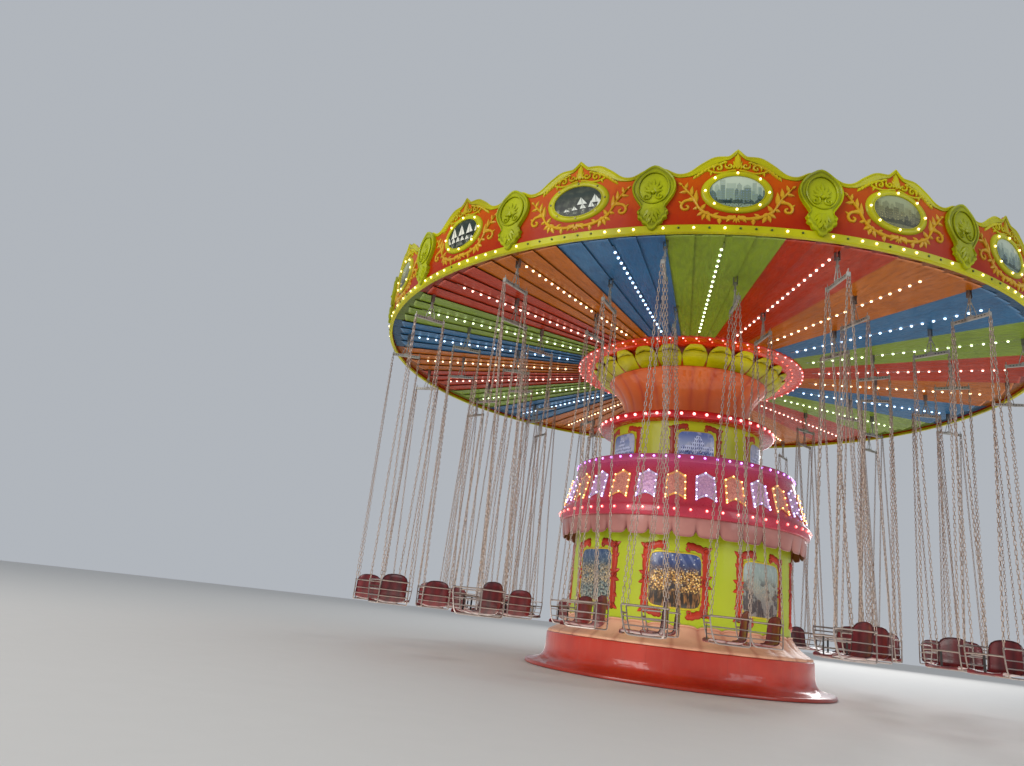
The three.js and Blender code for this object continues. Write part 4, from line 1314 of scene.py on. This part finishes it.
# Hanging chair, in its own axes: forward, out, up. It hangs from a pin between two cheeks.
chair = {"bar": 4984, "barHalf": 250, "rail": 990, "railHalf": 212, "pitch": 54, "wire": 5.8,
         "linkHalf": 12.0, "thick": 9.5, "thin": 7, "rails": [(872, 216), (786, 196)], "railBack": -224,
         "sleeves": (-220, 214), "sleeve": (13, 15),
         "wrap": [(-222, 212), (-238, 198), (-245, 152), (-248, 60), (-249, 0)],
         "lap": [(222, -212, 905), (238, -120, 908), (243, 0, 909), (238, 120, 908), (222, 212, 905)],
         "lapBar": 11, "crossBars": [(152, 697), (20, 690), (-190, 690)], "crossBar": 8.5,
         "loop": [(-224, 976), (-206, 990), (0, 991), (196, 990), (228, 984), (230, 960), (218, 880),
                  (198, 790), (176, 728), (150, 700), (108, 690), (-60, 690), (-196, 690), (-222, 704),
                  (-226, 740), (-226, 860), (-226, 950)]}
seat = {"path": [(222, 692), (234, 706), (216, 720), (120, 716), (0, 710), (-110, 710), (-176, 726),
                 (-206, 770), (-216, 850), (-222, 950), (-226, 1040), (-229, 1086)],
        "rows": 23, "half": 192, "draw": 8, "archFoot": 930, "archRise": 156, "archDrop": 122, "dish": 22,
        "grooves": [(4, 0.4, 0.07), (5, 0.78, 0.05)], "thick": 7, "bead": 9.0}


def seatShell():
    # The moulded shell: a path from the front lip over the seat and up the back, as wide as the seat and
    # closing to an arch at the top. It is dished, and it thins to nothing at its edges. A groove is its
    # depth, its place across and its width.
    count = seat["rows"]
    path = curveThrough(seat["path"], count)
    across = np.array([-1, -0.97, -0.86, -0.66, -0.4, 0, 0.4, 0.66, 0.86, 0.97, 1])
    aside = np.abs(across)
    back = np.clip((path[:, 1] - seat["archFoot"]) / seat["archRise"], 0, 1)[:, None]
    wide = seat["half"] - seat["draw"] * np.clip((path[:, 1] - 730) / 200, 0, 1)[:, None]
    drop = seat["archDrop"] * back * (1 - np.clip(1 - aside**2.6, 0, 1) ** (1 / 2.6))
    dish = seat["dish"] * aside[None] ** 3 * np.clip((np.arange(count) - 1) / 3, 0.25, 1)[:, None]
    step = np.gradient(path, axis=0)
    normal = np.stack([-step[:, 1], step[:, 0]], 1) / np.linalg.norm(step, axis=1)[:, None]
    normal = normal * np.where(normal[:, 1:] + normal[:, :1] > 0, 1, -1)
    groove = sum(deep * np.exp(-((aside - at) / spread) ** 2) for deep, at, spread in seat["grooves"])
    rim = (1 - aside[None] ** 8) * (1 - np.abs(np.linspace(-1, 1, count))[:, None] ** 10)
    sheets = []
    for side in (1, -1):
        offset = dish - groove + side * seat["thick"] * np.sqrt(np.clip(rim, 0, 1))
        place = path[:, None] + normal[:, None] * offset[..., None]
        sheets.append(np.stack([place[..., 0], wide * across, place[..., 1] - drop], -1))
    # The grooves are darkened: painted shade.
    tone = np.broadcast_to(np.clip(groove / 5, 0, 1) * 0.8, (count, len(across)))
    tones = np.concatenate([tone, tone[::-1], tone[:1]])
    shell = patch(np.concatenate([sheets[0], sheets[1][::-1]]), True, False, tone=tones)
    outline = np.concatenate([sheets[0][10:, 0], sheets[0][-1, 1:-1], sheets[0][:9:-1, -1]])
    return group(shell, tube(outline, seat["bead"], 5, side=(1, 0, 0), tone=0.9))


def chairFrame():
    # Round tubes: a closed loop at each side that narrows towards its foot, rails that join the loops
    # behind the back, cross bars under the seat, and the lap bar
    half, rail, thick, thin = (chair[key] for key in ("railHalf", "rail", "thick", "thin"))
    long, wide = chair["sleeve"]
    loop = curveThrough(chair["loop"], 34, closed=True)
    parts = []
    for side in (-1, 1):
        parts.append(tube(np.insert(loop, 1, side * half, axis=1), thick, 5, side=(0, 1, 0), closed=True))
        for up, front in chair["rails"]:
            parts.append(tube([(chair["railBack"], side * half, up), (front, side * half, up)], thin, 5))
        for u in chair["sleeves"]:
            parts.append(tube([(u - long, side * half, rail), (u + long, side * half, rail)], wide, 6))
    for up, radius in ((rail, thick), *((up, thin) for up, _ in chair["rails"])):
        wrap = np.insert(np.array(chair["wrap"], float), 2, up, axis=1)
        wrap = np.concatenate([wrap, (wrap * (1, -1, 1))[-2::-1]])
        parts.append(tube(curveThrough(wrap, 13), radius, 5))
    parts.append(tube(curveThrough(chair["lap"], 9), chair["lapBar"], 6))
    for u, up in chair["crossBars"]:
        parts.append(tube([(u, -half, up), (u, half, up)], chair["crossBar"], 5))
    return group(*parts)


def chains():
    # Four chains of links, each turned a quarter from the last. There are thousands, so a link has four
    # corners and a wire of three sides.
    wide, long = chair["linkHalf"], chair["pitch"] / 2 + chair["wire"] * 0.4
    loop = [(wide, 0, long), (wide, 0, -long), (-wide, 0, -long), (-wide, 0, long)]
    link = tube(loop, chair["wire"], 3, side=(0, 1, 0), closed=True)
    parts = []
    for end in (-1, 1):
        for front in (-1, 1):
            start = np.array([front * 11, end * (chair["barHalf"] - 12), chair["bar"] - 16], float)
            finish = np.array([front * 220, end * chair["railHalf"], chair["rail"] + 14], float)
            count = int(np.linalg.norm(finish - start) / chair["pitch"])
            along = (finish - start) / np.linalg.norm(finish - start)
            first = np.cross(along, (0, 1, 0)) / np.linalg.norm(np.cross(along, (0, 1, 0)))
            second = np.cross(along, first)
            odd = (np.arange(count) % 2)[:, None]
            one, two = first * (1 - odd) + second * odd, second * (1 - odd) - first * odd
            axes = np.stack([one, two, np.broadcast_to(along, one.shape)], 1)
            places = start + (finish - start) * ((np.arange(count) + 0.5) / count)[:, None]
            parts.append(placed(link, places, axes))
    return group(*parts)


# The hanger's blocks are [half length, half width, foot, top, cut] and its pins [half length, height,
# radius]. Its rod is [height, radius], and its slack chains and eyes are [out, height].
hang = {"link": (11, 17, 5196, 5318, 0.5), "bar": (15, chair["barHalf"], 4958, 5006, 0.3),
        "saddle": (20, 44, 5000, 5022, 0.4), "swivel": (16, 26, 5176, 5212, 0.4),
        "end": (26, 10, 4950, 5014, 0.5), "endOut": 238, "pin": (19, 5300, 13), "hole": (17, 4982, 10),
        "holes": (62, 102, 142, 182), "wire": 6,
        "rod": [(5212, 9), (5130, 9), (5124, 17), (5112, 17), (5106, 9), (5008, 9)],
        "slack": [(15, 5204), (46, 5120), (66, 5050), (74, 5000)],
        "eye": [(228, 5000), (230, 5036), (236, 5056)]}


def block(long, wide, foot, top, cut, out=0):
    return slab((-long, out - wide, foot), (long, out + wide, top), cut)


def pin(long, height, radius, sides, out=0, tone=0.0):
    return tube([(-long, out, height), (long, out, height)], radius, sides, tone=tone)


def hanger():
    # The link under the pin, a swivel rod between two slack chains, and the perforated bar with its eyes
    def wire(knots, side):
        return tube([(0, side * out, height) for out, height in knots], hang["wire"], 4, side=(1, 0, 0))

    heights, radii = zip(*hang["rod"])
    parts = [block(*hang["link"]), pin(*hang["pin"], 8),
             tube([(0, 0, height) for height in heights], radii, 6, side=(1, 0, 0)),
             wire(hang["slack"], -1), wire(hang["slack"], 1),
             *(block(*hang[key]) for key in ("bar", "saddle", "swivel"))]
    for side in (-1, 1):
        parts += [block(*hang["end"], side * hang["endOut"]), wire(hang["eye"], side)]
        # The bar's holes are dark pins: painted shade where the bar is open.
        parts += [pin(*hang["hole"], 6, side * out, 1.0) for out in hang["holes"]]
    return group(*parts)


seatRed = glossPaint("seatRed", (108, 24, 30), (52, 10, 16), (104, 62, 56), rough=0.28, coat=0.3, peel=0.2)
chairSteel = metalSkin("chairZinc", (146, 134, 128), (92, 66, 58), rough=0.28, metallic=0.75, scale=60.0)
chainSteel = metalSkin("chainZinc", (180, 162, 150), (126, 102, 86), rough=0.34, metallic=0.65, scale=70.0)
barPaint = metalSkin("barPaint", (152, 150, 144), (96, 86, 80), rough=0.4, metallic=0.3)
strapBlack = glossPaint("strapBlack", (38, 34, 34), (22, 20, 22), rough=0.5, coat=0.0)
chairFinishes = [seatRed, chairSteel, chainSteel, barPaint, strapBlack]
chainSlot = chairFinishes.index(chainSteel)
strap = group(slab((226, -15, 712), (231, 15, 902), 0.5), slab((216, -20, 704), (236, 20, 720), 0.5))
chairParts = (seatShell(), chairFrame(), chains(), hanger(), strap)
chairShape = group(*(slotted(part, slot) for slot, part in enumerate(chairParts)))
for ring, (radius, first) in chairRings.items():
    for number, degrees in enumerate(evenly(chairsInRing, first), 1):
        name = f"{ring}_chair_{number:02d}"
        sin, cos = math.sin(math.radians(degrees)), math.cos(math.radians(degrees))
        axes = np.array([[(-cos, -sin, 0), (sin, -cos, 0), (0, 0, 1)]])
        spot = np.array([[radius * sin, -radius * cos, 0.0]])
        makePiece(f"{ring}Chair{number:02d}", placed(chairShape, spot, axes), chairFinishes, name + "_body",
                  [name], roundSlot=chainSlot)
print("chairs ready")


# Floor, lights and camera
studio = {"floor": (206, 204, 200), "floorWorn": (190, 188, 184), "floorRings": (0.0, 6.0, 14.0, 30.0, 60.0),
          "floorHeight": -0.004, "world": linear(222, 228, 236), "worldStrength": 0.6}
floorPaint = Paint("floorPale")
grit = floorPaint.noise(3.0, 6.0)
floorFinish = floorPaint.finish(Base_Color=floorPaint.mix(grit * 0.2, studio["floor"], studio["floorWorn"]),
                                Roughness=grit * 0.1 + 0.6)
floorPoints = polar(np.array(studio["floorRings"])[:, None], evenly(96)[None], studio["floorHeight"])
ids = np.arange(5 * 96).reshape(5, 96)
quads = np.stack([ids[:-1], ids[1:], np.roll(ids[1:], -1, 1), np.roll(ids[:-1], -1, 1)], -1).reshape(-1, 4)
rings = [list(dict.fromkeys(face)) for face in np.where(quads < 96, 0, quads).tolist()]
floorMesh = bpy.data.meshes.new("floor")
floorMesh.from_pydata(floorPoints.reshape(-1, 3), [], rings)
floorMesh.materials.append(floorFinish)
linked("floor", floorMesh)

world = bpy.data.worlds.new("studio")
world.use_nodes = True
world.node_tree.nodes["Background"].inputs[0].default_value = studio["world"]
world.node_tree.nodes["Background"].inputs[1].default_value = studio["worldStrength"]
bpy.context.scene.world = world


def stand(thing, right, up, back, place):
    # Sets a light or the camera down, with its three axes as columns
    columns = np.column_stack([right, up, back, place])
    thing.matrix_world = Matrix([*columns.tolist(), [0, 0, 0, 1]])


def softLight(name, place, target, size, power, colour=(1, 1, 1), outline="SQUARE"):
    # A soft light that faces its target and isn't seen itself
    data = bpy.data.lights.new(name, "AREA")
    data.shape, data.size, data.energy, data.color = outline, size, power, colour
    light = linked(name, data)
    back = np.array(place, float) - np.array(target, float)
    back /= np.linalg.norm(back)
    side = np.cross((0, 0, 1), back)
    side /= np.linalg.norm(side)
    stand(light, side, np.cross(back, side), back, place)
    light.visible_camera = False


softLight("keyLight", (-15, -25, 12), (0, 0, 3.2), 15, 4600, (1.0, 0.97, 0.93))
softLight("sideLight", (25, -14, 11), (0, 0, 3.5), 15, 1900, (0.95, 0.97, 1.0))
softLight("backLight", (6, 28, 13), (0, 0, 4), 15, 3000)
softLight("underLight", (0.0, 0.01, 0.07), (0.0, 0.0, 5.4), 15, 720, (1.0, 0.93, 0.82), "DISK")
bpy.context.scene.view_settings.view_transform = "Standard"

# The camera: metres and degrees, and the roll in radians
view = {"distance": 13.725, "bearing": 3.6, "height": 0.817, "yaw": 17.48, "pitch": 16.80, "roll": -0.11559,
        "lens": 26.045}
bearing, yaw, pitch = (math.radians(view[key]) for key in ("bearing", "yaw", "pitch"))
forward = np.array([-math.sin(yaw) * math.cos(pitch), math.cos(yaw) * math.cos(pitch), math.sin(pitch)])
right = np.array([math.cos(yaw), math.sin(yaw), 0.0])
up = np.cross(right, forward)
cos, sin = math.cos(view["roll"]), math.sin(view["roll"])
lens = bpy.data.cameras.new("camera")
lens.lens, lens.sensor_width, lens.clip_end = view["lens"], 36, 200
camera = linked("camera", lens)
place = (view["distance"] * math.sin(bearing), -view["distance"] * math.cos(bearing), view["height"])
stand(camera, right * cos - up * sin, right * sin + up * cos, -forward, place)
bpy.context.scene.camera = camera

print("scene ready")
